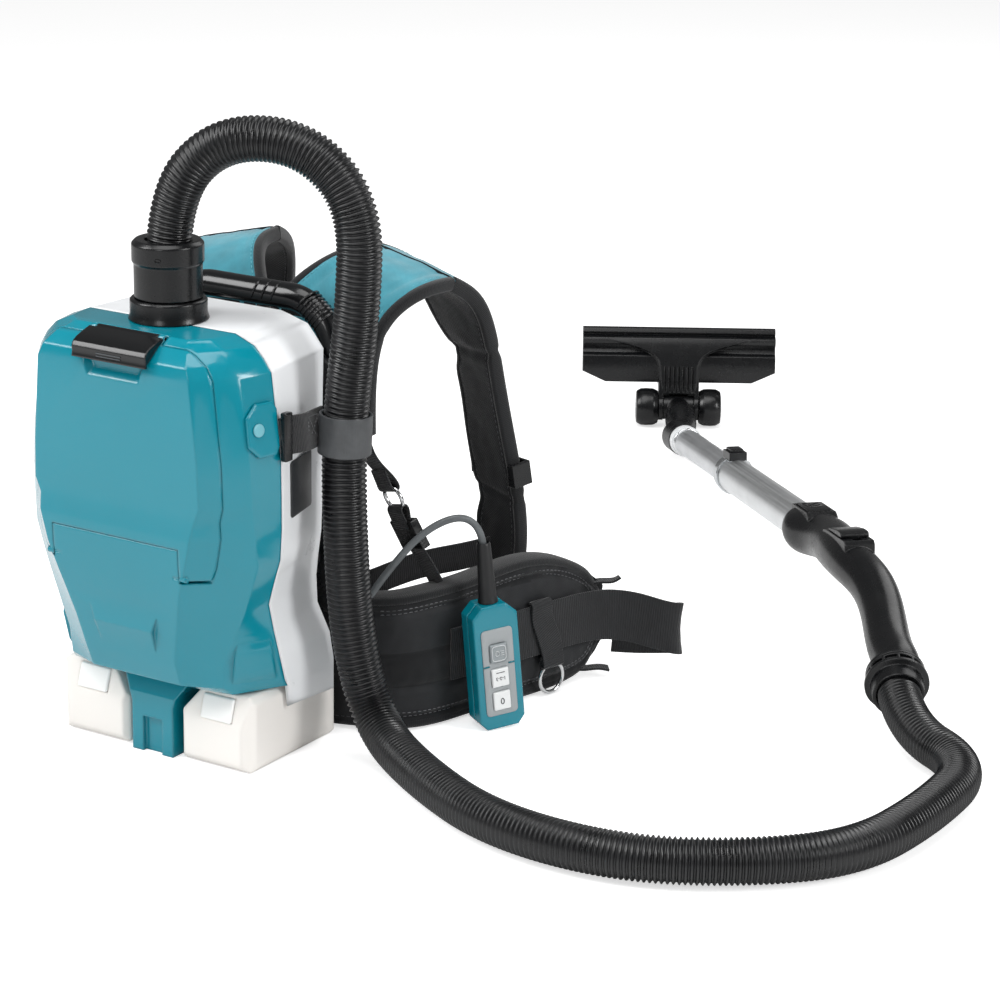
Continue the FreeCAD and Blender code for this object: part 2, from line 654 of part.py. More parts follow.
HALF = d.latch_half_width
fold_y, fold_z = d.latch_fold_y, d.latch_fold_z
plate_profile = [Vector(-HALF, pivot_y + 0.6, pivot_z + 2.9), Vector(-HALF, fold_y + 12.7, fold_z + 6.2),
                 Vector(-HALF, fold_y + 5, fold_z + 3.3), Vector(-HALF, fold_y + 1.2, fold_z + 0.8),
                 Vector(-HALF, fold_y - 0.5, fold_z - 2.6), Vector(-HALF, fold_y, fold_z - 7),
                 Vector(-HALF, fold_y - 0.8, fold_z - d.latch_lip),
                 Vector(-HALF, fold_y + 1.6, fold_z - d.latch_lip),
                 Vector(-HALF, fold_y + 2.6, fold_z - 3.4), Vector(-HALF, pivot_y - 4, pivot_z - 0.9),
                 Vector(-HALF, pivot_y, pivot_z)]
latch = prism(plate_profile, Vector(2 * HALF, 0, 0))
for side in (-1, 1):
    near = min(side * 30, side * 40)
    latch = latch.cut(Part.makeBox(10, 8, 12, Vector(near, pivot_y - 4, pivot_z - 6)))
latch_parts = [Part.makeCylinder(2.9, 60, Vector(-30, pivot_y, pivot_z), Vector(1, 0, 0)),
               Part.makeCylinder(d.latch_pin_radius, 71, Vector(-35.5, pivot_y, pivot_z), Vector(1, 0, 0)),
               Part.makeBox(18, 4.6, 2.2, Vector(-9, pivot_y, pivot_z - 4.5))]
for side in (-1, 1):
    # Cheeks close the ends of the latch in front of its knuckles.
    near = min(side * (HALF - 2.2), side * HALF)
    cheek = [Vector(near, pivot_y - 4.2, pivot_z - 0.3), Vector(near, fold_y + 2, fold_z - 2),
             Vector(near, fold_y + 2, fold_z - d.latch_lip + 3)]
    latch_parts.append(prism(cheek, Vector(2.2, 0, 0)).cut(front_outer))
latch = latch.fuse(latch_parts)
node(shaped(latch.removeSplitter()), "lid_latch")


# Bag, filter and motor

bag_centre_y = -3
bag_levels = [(197, 0.9), (215, 1.0), (300, 1.0), (321, 0.92)]


def bag_loft(shrink, low, high):
    sections = []
    for z, share in bag_levels:
        z = min(max(z, low), high)
        wide = d.bag_half_width * share - shrink
        deep = d.bag_depth / 2 * share - shrink
        cut_corner = 14
        loop = [(wide - cut_corner, -deep), (wide, -deep + cut_corner), (wide, deep - cut_corner),
                (wide - cut_corner, deep)]
        loop += [(-x, y) for x, y in loop[::-1]]
        sections.append([Vector(x, bag_centre_y + y, z) for x, y in loop])
    return facet_loft(sections)


bag_hole = Part.makeCylinder(d.spigot_radius + 0.3, 30, Vector(0, d.inlet_y, 310))
bag = bag_loft(0, 197, 321).fuse([
    Part.makeCylinder(d.spigot_radius + 6, 9, Vector(0, d.inlet_y, 320.5)),
    Part.makeBox(2 * d.bag_plate_half_width, 84, d.bag_plate_thickness,
                 Vector(-d.bag_plate_half_width, bag_centre_y - 42, 329))])
bag = bag.cut([bag_loft(2, 199, 319), bag_hole])
node(shaped(bag.removeSplitter()), "dust_bag")

filter_z = s.shelf_top + 0.3
frame_block = box(2 * s.filter_half_width, s.filter_depth, s.filter_height, -s.filter_half_width,
                  s.motor_y - s.filter_depth / 2, filter_z)
pleats = []
PLEATS = int(d.pleat_count)
pleat_pitch = (s.filter_depth - 8) / PLEATS
for index in range(PLEATS):
    pleats.append(box(2 * s.filter_half_width - 10, pleat_pitch * 0.5, s.filter_height * 0.6,
                      5 - s.filter_half_width,
                      s.motor_y - s.filter_depth / 2 + 4 + pleat_pitch * (index + 0.25),
                      filter_z + s.filter_height * 0.5))
node(cut(frame_block, fuse(pleats)), "filter_cartridge")

can = new_body()
can_base = s.shelf_top - 3.3 - s.motor_height
seat_radius = s.bearing_radius + 0.3
cup_radius = seat_radius + 3
bearing_low = can_base + s.motor_wall + 1
web_z = can_base + 49
inner_can = s.motor_radius - s.motor_wall
turn(can, "XZ_Plane", [
    (s.shaft_radius + 1, can_base), (s.motor_radius, can_base), (s.motor_radius, can_base + s.motor_height),
    (inner_can, can_base + s.motor_height), (inner_can, web_z + 3), (cup_radius, web_z + 3),
    (cup_radius, web_z + 8), (seat_radius, web_z + 8), (seat_radius, web_z + 1.5),
    (s.shaft_radius + 1, web_z + 1.5), (s.shaft_radius + 1, web_z), (inner_can, web_z),
    (inner_can, can_base + s.motor_wall), (cup_radius, can_base + s.motor_wall),
    (cup_radius, can_base + s.motor_wall + 7), (seat_radius, can_base + s.motor_wall + 7),
    (seat_radius, can_base + s.motor_wall + 0.7), (s.shaft_radius + 1, can_base + s.motor_wall + 0.7)],
     "Z_Axis")
place(can, 0, s.motor_y, 0)
vents = []
for index in range(6):
    angle = math.radians(60 * index + 30)
    vents.append(cylinder(7, s.motor_height, 30 * math.cos(angle), s.motor_y + 30 * math.sin(angle),
                          can_base - 10))
can_vents = group(vents)
vent_height = web_z + 6 - can_base + 10
for vent in vents:
    vent.setExpression("Height", as_size(vent_height).text)
node(cut(can, can_vents), "motor_housing")

bearings = []
for low in (can_base + s.motor_wall + 1, web_z + 1.8):
    ring = cylinder(s.bearing_radius, s.bearing_width, 0, s.motor_y, low)
    bearings.append(cut(ring, cylinder(s.shaft_radius + s.running_gap, 20, 0, s.motor_y, low - 5)))
node(group(bearings), "motor_bearings")

stator_low = can_base + 14
core = cylinder(inner_can - 0.3, s.stator_height, 0, s.motor_y, stator_low)
square = box(2 * s.stator_radius, 2 * s.stator_radius, s.stator_height, -s.stator_radius,
             s.motor_y - s.stator_radius, stator_low)
block = doc.addObject("Part::MultiCommon", "Common")
block.Shapes = [core, square]
node(cut(block, cylinder(s.stator_bore, 60, 0, s.motor_y, stator_low - 10)), "motor_stator")

shaft = new_body()
shaft_low = can_base + s.motor_wall + 0.5
rotor_low = stator_low + 2
rotor_high = rotor_low + s.stator_height - 4
turn(shaft, "XZ_Plane", [
    (0, shaft_low), (s.shaft_radius, shaft_low), (s.shaft_radius, rotor_low), (s.rotor_radius, rotor_low),
    (s.rotor_radius, rotor_high), (s.shaft_radius, rotor_high), (s.shaft_radius, web_z + 26),
    (0, web_z + 26)], "Z_Axis")
node(place(shaft, 0, s.motor_y, 0), "motor_shaft")

fan_low = web_z + 10
hub = cylinder(s.shaft_radius + 5, s.fan_height, 0, s.motor_y, fan_low)
disc = cylinder(s.fan_radius, 2, 0, s.motor_y, fan_low)
blades = []
for index in range(int(d.blade_count)):
    angle = 360.0 * index / int(d.blade_count)
    cosine, sine = math.cos(math.radians(angle)), math.sin(math.radians(angle))
    blades.append(box(s.fan_radius - 8, s.blade_thickness, s.fan_height - 0.5,
                      6 * cosine, s.motor_y + 6 * sine, fan_low + 0.5, yaw=angle + 12))
fan = fuse([hub, disc] + blades)
node(cut(fan, cylinder(s.shaft_radius + 0.3, 40, 0, s.motor_y, fan_low - 10)), "fan_impeller")

board_y = 62.2
board = box(s.board_width, s.board_thickness, s.board_height, -s.board_width / 2, board_y, 95)
parts_on_board = [board]
for x, z, wide, deep, high in ((-22, 104, 12, 6, 12), (-2, 100, 8, 8, 18), (14, 112, 14, 4, 10),
                               (-18, 132, 20, 3, 14), (12, 136, 9, 7, 9)):
    parts_on_board.append(box(wide, deep, high, x, board_y - deep, z))
node(fuse(parts_on_board), "control_board")


# Battery packs

def mirrored(item):
    other = doc.addObject("Part::Mirroring", "Mirrored")
    other.Source = item
    other.Base = (0, 0, 0)
    other.Normal = (1, 0, 0)
    return other


PACK_BASE = 0.8
outer_x = s.pack_inner_x + s.pack_width
inner_x = s.pack_inner_x
pack_outline = [
    (inner_x + 3, PACK_BASE), (outer_x - 4, PACK_BASE), (outer_x, PACK_BASE + 4),
    (outer_x, s.pack_height - 6), (outer_x - 6, s.pack_height), (inner_x + s.pack_bevel, s.pack_height),
    (inner_x, s.pack_shoulder), (inner_x, PACK_BASE + 3)]
button_x = inner_x + 36
terminal_x = inner_x + 45
pack_bodies = []
pack = new_body()
pad(pack, "XZ_Plane", pack_outline, s.pack_length, -(s.pack_front_y + s.pack_length))
pocket(pack, "XZ_Plane", rectangle(button_x - s.button_width / 2 - 0.3, s.pack_height - 4 - s.button_height,
                                   button_x + s.button_width / 2 + 0.3, s.pack_height - 3.4), 15,
       -(s.pack_front_y + 13.6))
front = s.pack_front_y
lean = 8 / 26
pocket(pack, "YZ_Plane", [(front - 1, 38 - 1 / lean), (front + 29 * lean, 67), (front - 1, 67)],
       s.pack_width + 2,
       inner_x - 1)
pocket(pack, "YZ_Plane", [(front - 1, -0.2), (front + 7, -0.2), (front - 1, 7.8)], s.pack_width + 2,
       inner_x - 1)
pocket(pack, "XY_Plane", [(outer_x + 1, front - 1), (outer_x - 10, front - 1), (outer_x + 1, front + 10)],
       70, -2)
pocket(pack, "XY_Plane", [(inner_x - 1, front - 1), (inner_x + 6, front - 1), (inner_x - 1, front + 6)], 70,
       -2)
pocket(pack, "XY_Plane", rectangle(terminal_x - s.terminal_width / 2 - 0.6, 27,
                                   terminal_x + s.terminal_width / 2 + 0.6, 90), 10,
       s.pack_height - s.terminal_height)
node(pack, "right_battery")
node(mirrored(pack), "left_battery")
button = new_body()
button_low = s.pack_height - 3.7 - s.button_height
button_high = s.pack_height - 3.7
pad(button, "YZ_Plane", [
    (front + (button_low - 38) * lean - 1.8, button_low), (front + 10, button_low), (front + 10, button_high),
    (front + (button_high - 38) * lean - 1.8, button_high)], s.button_width, button_x - s.button_width / 2)
node(button, "right_battery_button")
node(mirrored(button), "left_battery_button")

terminals = []
for side in (-1, 1):
    middle = terminal_x * side
    terminals.append(box(s.terminal_width, s.terminal_length, 66.2 - s.pack_height + s.terminal_height - 0.6,
                         middle - s.terminal_width / 2, 28, s.pack_height - s.terminal_height + 0.6))
node(group(terminals), "battery_terminals")


# Hose: its route, ribs and keeper

HANDLE_RING = Vector(479, 351, 36)
HANDLE_WAY = (HANDLE_RING - Vector(452, 394, 51)).normalize()
HANDLE_END = HANDLE_RING - HANDLE_WAY * 24
hose_start_z = d.housing_top + d.inlet_height + 17
HOSE_POINTS = [
    Vector(0, d.inlet_y, hose_start_z), Vector(0, d.inlet_y, 452), Vector(40, 12, 502), Vector(104, 36, 503),
    Vector(150, 46, 458), Vector(145, 50, 372), Vector(131, 51, 282), Vector(136, 45, 190),
    Vector(136, 56, 95), Vector(156, 62, 25), Vector(232, 11, 19.1), Vector(330, -39, 19.1),
    Vector(440, -40, 19.1), Vector(525, 8, 19.1), Vector(582, 72, 19.1), Vector(592, 170, 19.1),
    Vector(584, 270, 19.1), HANDLE_END + HANDLE_WAY * 70, HANDLE_END + HANDLE_WAY * 9]
hose_edges, hose_radii = rounded_route(HOSE_POINTS)
hose_length = sum(edge.Length for edge in hose_edges)


def ring_at(edges, distance, radius, reference):
    """A circle square to the route, whose start lies along a steadily carried reference."""
    spot, way = along_route(edges, distance)
    reference = (reference - way * reference.dot(way)).normalize()
    circle = Part.Circle(spot, way, radius)
    turned = Part.Circle()
    axes = FreeCAD.Rotation(reference, way.cross(reference), way, "ZXY")
    turned.Radius = radius
    edge = turned.toShape()
    edge.Placement = FreeCAD.Placement(spot, axes)
    return Part.Wire([edge]), reference


def ribbed_hose():
    """The hose wall with a groove between each rib and the next, and a straight bore."""
    ribs = int(d.rib_count)
    plain = 2 * d.hose_radius
    pitch = (hose_length - 2 * plain) / ribs
    reference = Vector(1, 0, 0)
    outer = []
    inner = []
    stations = [(0, d.hose_radius)]
    for index in range(ribs):
        low = plain + pitch * index
        stations.append((low + pitch * 0.10, d.hose_radius))
        stations.append((low + pitch * 0.25, d.hose_radius - d.rib_depth))
        stations.append((low + pitch * 0.50, d.hose_radius - d.rib_depth))
        stations.append((low + pitch * 0.65, d.hose_radius))
    stations.append((hose_length, d.hose_radius))
    for index, (distance, radius) in enumerate(stations):
        ring, reference = ring_at(hose_edges, distance, radius, reference)
        outer.append(ring)
        if index % 4 == 1 or index in (0, len(stations) - 1):
            inner.append(ring_at(hose_edges, distance, d.hose_bore, reference)[0])
    return Part.makeLoft(outer, True, True), Part.makeLoft(inner, True, True)


def end_caps(solid):
    """The flat ends of a loft, the one at the route's start first."""
    caps = [face for face in solid.Faces if isinstance(face.Surface, Part.Plane)]
    return sorted(caps, key=lambda face: face.CenterOfMass.distanceToPoint(HOSE_POINTS[0]))


def hollow_tube(outer_solid, inner_solid):
    """One solid from two lofts with the same ends: both walls and two ring-shaped ends."""
    skins = [face for face in outer_solid.Faces if not isinstance(face.Surface, Part.Plane)]
    linings = [face.reversed() for face in inner_solid.Faces if not isinstance(face.Surface, Part.Plane)]
    rings = [big.cut(small).Faces[0] for big, small in zip(end_caps(outer_solid), end_caps(inner_solid))]
    return Part.Solid(Part.makeShell(skins + linings + rings))


hose_solid = hollow_tube(*ribbed_hose())
node(shaped(hose_solid), "suction_hose")
print("hose radii:", ["%.0f" % radius for radius in hose_radii])
hose_section = math.pi * (d.hose_radius ** 2 - d.hose_bore ** 2)
print("hose length %.1f, volume %.0f, plain section times length %.0f"
      % (hose_length, hose_solid.Volume, hose_section * hose_length))

# Bracket on the side of the housing and the strap that keeps the hose
wall_spot = Vector(107.2, -26, d.bracket_z)
side_way = Vector(0.247, 0.969, 0).normalize()
rise_way = Vector(-0.132, 0, 1).normalize()
out_way = side_way.cross(rise_way).normalize()
rise_way = out_way.cross(side_way)
bracket_seat = wall_spot + out_way * 0.45
half_deep, half_high = d.bracket_depth / 2, d.bracket_height / 2
hexagon = [(-half_deep, -half_high * 0.55), (-half_deep * 0.35, -half_high), (half_deep * 0.75, -half_high),
           (half_deep, -half_high * 0.7), (half_deep, half_high * 0.7), (half_deep * 0.75, half_high),
           (-half_deep * 0.35, half_high), (-half_deep, half_high * 0.55)]
bracket = prism([bracket_seat + side_way * a + rise_way * b for a, b in hexagon],
                out_way * d.bracket_thickness)
node(shaped(bracket), "strap_bracket")

keeper_edge = hose_edges[11]
keeper_share = keeper_edge.FirstParameter + 0.62 * (keeper_edge.LastParameter - keeper_edge.FirstParameter)
keeper_middle = keeper_edge.valueAt(keeper_share)
keeper_way = keeper_edge.tangentAt(keeper_share)
half_keeper = d.keeper_width / 2
keeper_low = keeper_middle - keeper_way * half_keeper
sleeve_bore = d.hose_radius + 0.9
sleeve = Part.makeCylinder(sleeve_bore + d.keeper_thickness, d.keeper_width, keeper_low, keeper_way)
keeper_drop = (d.bracket_z - keeper_middle.z - 3) / rise_way.z
keeper_spot = bracket_seat + out_way * (d.bracket_thickness + 0.35 + d.keeper_thickness / 2)
keeper_spot = keeper_spot + side_way * 4 - rise_way * keeper_drop
keeper_join = Vector(keeper_middle.x - sleeve_bore - 1.3, keeper_middle.y - 4, keeper_middle.z)
keeper_turn = keeper_spot + side_way * 12.5
keeper_bend = Vector(keeper_turn.x, 14, keeper_middle.z + 1.4)
keeper = strip([keeper_spot - side_way * 8, keeper_turn, keeper_bend, keeper_join], rise_way,
               d.keeper_width, d.keeper_thickness)
keeper = keeper.fuse(sleeve).cut(
    Part.makeCylinder(sleeve_bore, 90, keeper_middle - keeper_way * 45, keeper_way))
node(shaped(keeper), "hose_strap")


# Back frame and carrying handle

frame_y = s.frame_front_y
frame = new_body()
frame_half = [
    (40, s.frame_bottom), (s.frame_half_width - 14, s.frame_bottom + 26), (s.frame_half_width, 70),
    (s.frame_waist, 130), (s.frame_waist - 4, 200), (s.frame_waist, 262), (s.frame_half_width, 296),
    (s.frame_half_width - 2, s.frame_top - 10), (s.frame_half_width - 14, s.frame_top)]
frame_outline = frame_half + [(-x, z) for x, z in frame_half[::-1]]
pad(frame, "XZ_Plane", frame_outline, s.frame_thickness, -(frame_y + s.frame_thickness))
pocket(frame, "XZ_Plane", [(-s.window_half_width, s.window_low), (s.window_half_width, s.window_low),
                           (s.window_half_width - 8, s.window_high), (8 - s.window_half_width,
                                                                      s.window_high)],
       s.frame_thickness + 2, -(frame_y + s.frame_thickness + 1))
frame_pieces = [frame]
for x, z in frame_holes:
    frame_pieces.append(cylinder(s.frame_boss_radius, frame_y + 1 - 77.4, x, frame_y + 1, z, roll=90))
for side in (-1, 1):
    low_x = side * s.grip_half_width - 11
    frame_pieces.append(box(22, 25, 12, low_x, frame_y + 5, s.grip_foot_z - 12.3))
# The cable's gland stands on the frame's edge, which slopes from the foot to the waist.
gland_low = s.frame_half_width - (s.frame_half_width - s.frame_waist) * 0.633 - 4.27
gland_end = float(gland_low) + 14
frame_pieces.append(cylinder(5, 14, gland_low, frame_y + 3, 108, pitch=90))
frame_solid = fuse(frame_pieces)
frame_bores = []
for x, z in frame_holes:
    frame_bores.append(cylinder(s.screw_radius + 0.3, 60, x, frame_y + 30, z, roll=90))
node(cut(frame_solid, group(frame_bores)), "back_frame")

grip_low = d.grip_foot_z
GRIP = [Vector(-d.grip_half_width, d.grip_y, grip_low), Vector(-d.grip_half_width, d.grip_y, grip_low + 36),
        Vector(-d.grip_half_width + 26, d.grip_y, d.grip_top), Vector(d.grip_half_width - 26, d.grip_y,
                                                                      d.grip_top),
        Vector(d.grip_half_width, d.grip_y, grip_low + 36), Vector(d.grip_half_width, d.grip_y, grip_low)]
grip_edges, grip_radii = rounded_route(GRIP)
node(shaped(tube(grip_edges, d.grip_radius)), "carry_handle")


# Harness

def rounded_block(x0, x1, y0, y1, z0, z1, edge):
    """A block with its upright and level edges along X and Z eased by flats."""
    loop = [(x0 + edge, z0), (x1 - edge, z0), (x1, z0 + edge), (x1, z1 - edge), (x1 - edge, z1),
            (x0 + edge, z1), (x0, z1 - edge), (x0, z0 + edge)]
    small = inset(loop, [edge * 0.5] * 8)
    levels = [(y0, small), (y0 + edge * 0.45, loop), (y1 - edge * 0.45, loop), (y1, small)]
    return facet_loft([[Vector(x, y, z) for x, z in points] for y, points in levels])


pad_y = d.frame_front_y + d.frame_thickness + 0.3
node(shaped(rounded_block(-62, 62, pad_y, 119.4, 126, 285, 12)), "back_pad")

RIGHT_ARM = [
    (Vector(53, 126.6, d.yoke_low), Vector(1, 0, 0), Vector(0, 1, 0), 106, d.yoke_thickness, 5),
    (Vector(53, 126.6, 280), Vector(1, 0, 0), Vector(0, 1, 0), 106, d.yoke_thickness, 5),
    (Vector(54, 128, 308), Vector(1, 0, 0), Vector(0, 1, -0.15), 107, d.yoke_thickness, 5),
    (Vector(58, 134, 336), Vector(1, 0, -0.03), Vector(0, 1, -0.55), 108, d.yoke_thickness, 5),
    (Vector(72, 152, 360), Vector(1, 0, -0.12), Vector(0.1, 0.7, -0.85), 100, d.yoke_thickness, 5),
    (Vector(83, 176, 370), Vector(1, 0, -0.2), Vector(0.2, 0.2, -1), 92, d.yoke_thickness, 5),
    (Vector(88, 206, 371), Vector(1, 0, -0.24), Vector(0.24, -0.05, -1), 88, d.yoke_thickness, 5)]


def mirror_stations(stations):
    def flip(vector):
        return Vector(-vector.x, vector.y, vector.z)
    return [(flip(centre), flip(across), flip(through), wide, thick, edge)
            for centre, across, through, wide, thick, edge in stations]


right_arm = band_loft(RIGHT_ARM)
left_arm = right_arm.mirror(Vector(0, 0, 0), Vector(1, 0, 0))
yoke = right_arm.fuse(left_arm).removeSplitter()
node(shaped(yoke), "shoulder_yoke")


def station(x, y, z, ahead, across, width, thickness, edge):
    across = Vector(across).normalize()
    ahead = Vector(ahead).normalize()
    through = across.cross(ahead)
    return (Vector(x, y, z), ahead.cross(through) * -1, through, width, thickness, edge)


THICK = d.pad_thickness
STRAP_ROWS = [
    (98, 240, 352, (0.35, 1, -1.1), (1, -0.2, -0.2), 76),
    (108, 262, 312, (0.2, 0.45, -1), (0.96, -0.3, 0), 62),
    (113, 278, 262, (0.1, 0.25, -1), (0.94, -0.34, 0), 52),
    (118, 288, 210, (0.1, 0.14, -1), (0.95, -0.3, 0), 50),
    (124, 292, 160, (0.12, 0.02, -1), (0.97, -0.22, 0), 50),
    (130, 288, 115, (0.1, -0.15, -1), (0.98, -0.18, 0), 46),
    (134, 282, 90, (0.1, -0.25, -1), (0.98, -0.18, 0), 36)]
RIGHT_STRAP = [(RIGHT_ARM[-1][0] + Vector(0, 0.6, 0),) + RIGHT_ARM[-1][1:4] + (THICK, 6)]
RIGHT_STRAP += [station(x, y, z, ahead, across, width, THICK, 6) for x, y, z, ahead, across,
                width in STRAP_ROWS]
right_strap = band_loft(RIGHT_STRAP)
node(shaped(right_strap), "right_shoulder_strap")
left_strap = right_strap.mirror(Vector(0, 0, 0), Vector(1, 0, 0))
node(shaped(left_strap), "left_shoulder_strap")


def both_sides(shape):
    return [shape, shape.mirror(Vector(0, 0, 0), Vector(1, 0, 0))]


# Lumbar pad and belt wings
lumbar = band_loft([
    (Vector(-112, 116, 60), Vector(0, 0, 1), Vector(0.35, 1, 0), 112, 26, 9),
    (Vector(-70, 108, 60), Vector(0, 0, 1), Vector(0.12, 1, 0), 116, 25, 9),
    (Vector(0, 107.2, 60), Vector(0, 0, 1), Vector(0, 1, 0), 116, 25, 9),
    (Vector(70, 108, 60), Vector(0, 0, 1), Vector(-0.12, 1, 0), 116, 25, 9),
    (Vector(112, 116, 60), Vector(0, 0, 1), Vector(-0.35, 1, 0), 112, 26, 9)])
node(shaped(lumbar), "lumbar_pad")

BELT = d.belt_thickness
WING = [
    (Vector(112.5, 116.2, 60), Vector(0, 0, 1), Vector(-0.35, 1, 0), 112, 26, 9),
    (Vector(128, 125, 60), Vector(0, 0, 1), Vector(-0.68, 0.74, 0), 114, BELT, 9),
    (Vector(142, 147, 60), Vector(0, 0, 1), Vector(-0.9, 0.43, 0), 117, BELT, 9),
    (Vector(154, 186, 60.5), Vector(0, 0, 1), Vector(-0.95, 0.3, 0), d.belt_height, BELT, 9),
    (Vector(171, 248, 62.5), Vector(0, 0, 1), Vector(-0.96, 0.27, 0), 122, BELT, 9),
    (Vector(184, 300, 57), Vector(0, 0, 1), Vector(-0.96, 0.26, 0), 107, BELT - 2, 9),
    (Vector(190, 323, 53), Vector(0, 0, 1), Vector(-0.96, 0.26, 0), 86, BELT - 8, 8),
    (Vector(196, 344, 53), Vector(0, 0, 1), Vector(-0.96, 0.26, 0), 50, BELT - 13, 5.5)]
right_wing = band_loft(WING)
node(shaped(right_wing), "right_belt_wing")
node(shaped(right_wing.mirror(Vector(0, 0, 0), Vector(1, 0, 0))), "left_belt_wing")

# Webbing of the belt: one band along each wing that ends in a loop
THIN = d.webbing_thickness
band_points = [Vector(162, 160, 61), Vector(171.5, 190, 61), Vector(187.5, 248, 61), Vector(200.5, 300, 60),
               Vector(213, 325, 59), Vector(234, 342, 55), Vector(254, 351, 50), Vector(264, 359, 47),
               Vector(262, 367, 44), Vector(247, 367, 41), Vector(228, 360, 39), Vector(208, 347, 40)]
belt_band = strip(band_points, UP, 45, THIN).cut(right_wing)
node(shaped(Part.makeCompound(both_sides(belt_band))), "belt_webbing")

# Webbing between the straps, the belt and the frame, with its rings and buckles


def eye(centre, axis, width, bore, thickness=1.6):
    """A short sewn loop of webbing round a ring's wire."""
    axis = Vector(axis).normalize()
    low = centre - axis * (width / 2)
    return Part.makeCylinder(bore + thickness, width, low, axis), Part.makeCylinder(bore, width + 8,
                                                                                    low - axis * 4, axis)


def wire_ring(centre, normal, radius, wire):
    return Part.makeTorus(radius, wire, centre, Vector(normal).normalize())


RING_WIRE = d.ring_wire
BACK_ACROSS = Vector(0.96, -0.28, 0).normalize()
ring_centre = Vector(113, 147, 191)
ring_way = Vector(18, 11, -52).normalize()
BACK_ACROSS = (BACK_ACROSS - ring_way * BACK_ACROSS.dot(ring_way)).normalize()
ring_normal = ring_way.cross(BACK_ACROSS).normalize()
small_ring = wire_ring(ring_centre, ring_normal, 11, RING_WIRE)
upper_eye, upper_bore = eye(ring_centre - ring_way * 11, BACK_ACROSS, 7.6, 3)
lower_eye, lower_bore = eye(ring_centre + ring_way * 11, BACK_ACROSS, 7.6, 3)
ACROSS = BACK_ACROSS
upper_web = strip([Vector(95, 127, 247), Vector(99, 132, 228), ring_centre - ring_way * 14.6], ACROSS, 20,
                  THIN)
lower_web = strip([ring_centre + ring_way * 14.6, Vector(131, 158, 145), Vector(145, 164, 119.3)], ACROSS,
                  20, THIN)
upper_web = upper_web.fuse(upper_eye).cut(upper_bore)
lower_web = lower_web.fuse(lower_eye).cut(lower_bore)
strap_web = strip([Vector(121, 281.5, 112), Vector(96, 214, 112), Vector(62, 121.8, 100)],
                  Vector(0.1, 0, 1), d.webbing_width, THIN).cut(right_strap)
webs = []
for shape in (upper_web, lower_web, strap_web):
    webs += both_sides(shape.cut([right_wing, lumbar, yoke]))
node(shaped(Part.makeCompound(webs)), "lower_webbing")
node(shaped(Part.makeCompound(both_sides(small_ring))), "stabilizer_rings")


def ladder_buckle(centre, ahead, across, width, length, thickness, slot):
    """A flat buckle with a slot across it that webbing runs through."""
    ahead = Vector(ahead).normalize()
    across = Vector(across).normalize()
    through = across.cross(ahead).normalize()

    def block(half_a, half_w, half_t):
        corner = centre - ahead * half_a - across * half_w - through * half_t
        loop = [corner, corner + across * 2 * half_w, corner + across * 2 * half_w + through * 2 * half_t,
                corner + through * 2 * half_t]
        return prism(loop, ahead * (2 * half_a))

    return block(length / 2, width / 2, thickness / 2).cut(block(length / 2 + 1, width / 2 - 3, slot / 2))


buckle_way = (Vector(131, 158, 145) - (ring_centre + ring_way * 14.2)).normalize()
side_buckle = ladder_buckle(ring_centre + ring_way * 14.2 + buckle_way * 19, buckle_way, ACROSS, 30, 26, 8,
                            THIN + 0.8)
slider_ahead, slider_across = Vector(0.12, 0.08, -1), Vector(0.96, -0.26, 0).normalize()
slider_middle = Vector(121, 289.5, 185) + slider_across * 3
strap_slider = ladder_buckle(slider_middle, slider_ahead, slider_across, 62, 20, THICK + 6, THICK + 0.8)
strap_slider = strap_slider.cut(band_loft([
    (centre, across, through, wide + 0.8, thick + 0.8, edge) for centre, across, through, wide, thick, edge
    in RIGHT_STRAP]))
# The near face stays free, apart from a lip at the outer edge.
near_way = slider_across.cross(UP)
near_corner = slider_middle + near_way * 3 - slider_across * 60 - UP * 30
near_room = prism([near_corner, near_corner + slider_across * 83,
                   near_corner + slider_across * 83 + near_way * 20,
                   near_corner + near_way * 20], UP * 60)
strap_slider = strap_slider.cut(near_room)
node(shaped(Part.makeCompound(both_sides(side_buckle) + both_sides(strap_slider))), "strap_buckles")

# Ring that hangs from the right wing
WING_WAY = Vector(0.27, 0.963, 0).normalize()
hang_x, hang_y = 194.8, 266.3
hang_ring_z = 1 + d.ring_radius + RING_WIRE
hang_low = Vector(hang_x, hang_y, hang_ring_z + d.ring_radius)
# It is sewn over the belt's webbing: the top folds back over that band's edge.
hang_top = Vector(hang_x, hang_y, 85.6) - WING_WAY * 13
hang_fold = hang_top - WING_WAY.cross(UP) * 3.6 + UP * 0.4
hanger = strip([hang_fold, hang_top, hang_low + UP * 3], WING_WAY, 24, THIN)
hang_eye, hang_bore = eye(hang_low, WING_WAY, 7, 2.6)
hanger = hanger.fuse(hang_eye).cut(hang_bore).cut([right_wing, belt_band])
node(shaped(hanger), "ring_hanger")
node(shaped(wire_ring(Vector(hang_x, hang_y, hang_ring_z), WING_WAY.cross(UP), d.ring_radius, RING_WIRE)),
     "hanging_ring")


# Remote control, in its own frame: X across, -Y to the front, Z along

def at_remote(item):
    return place(item, s.remote_x + 2, s.remote_y + 2, 1.8, yaw=s.remote_yaw, pitch=-s.remote_lean)


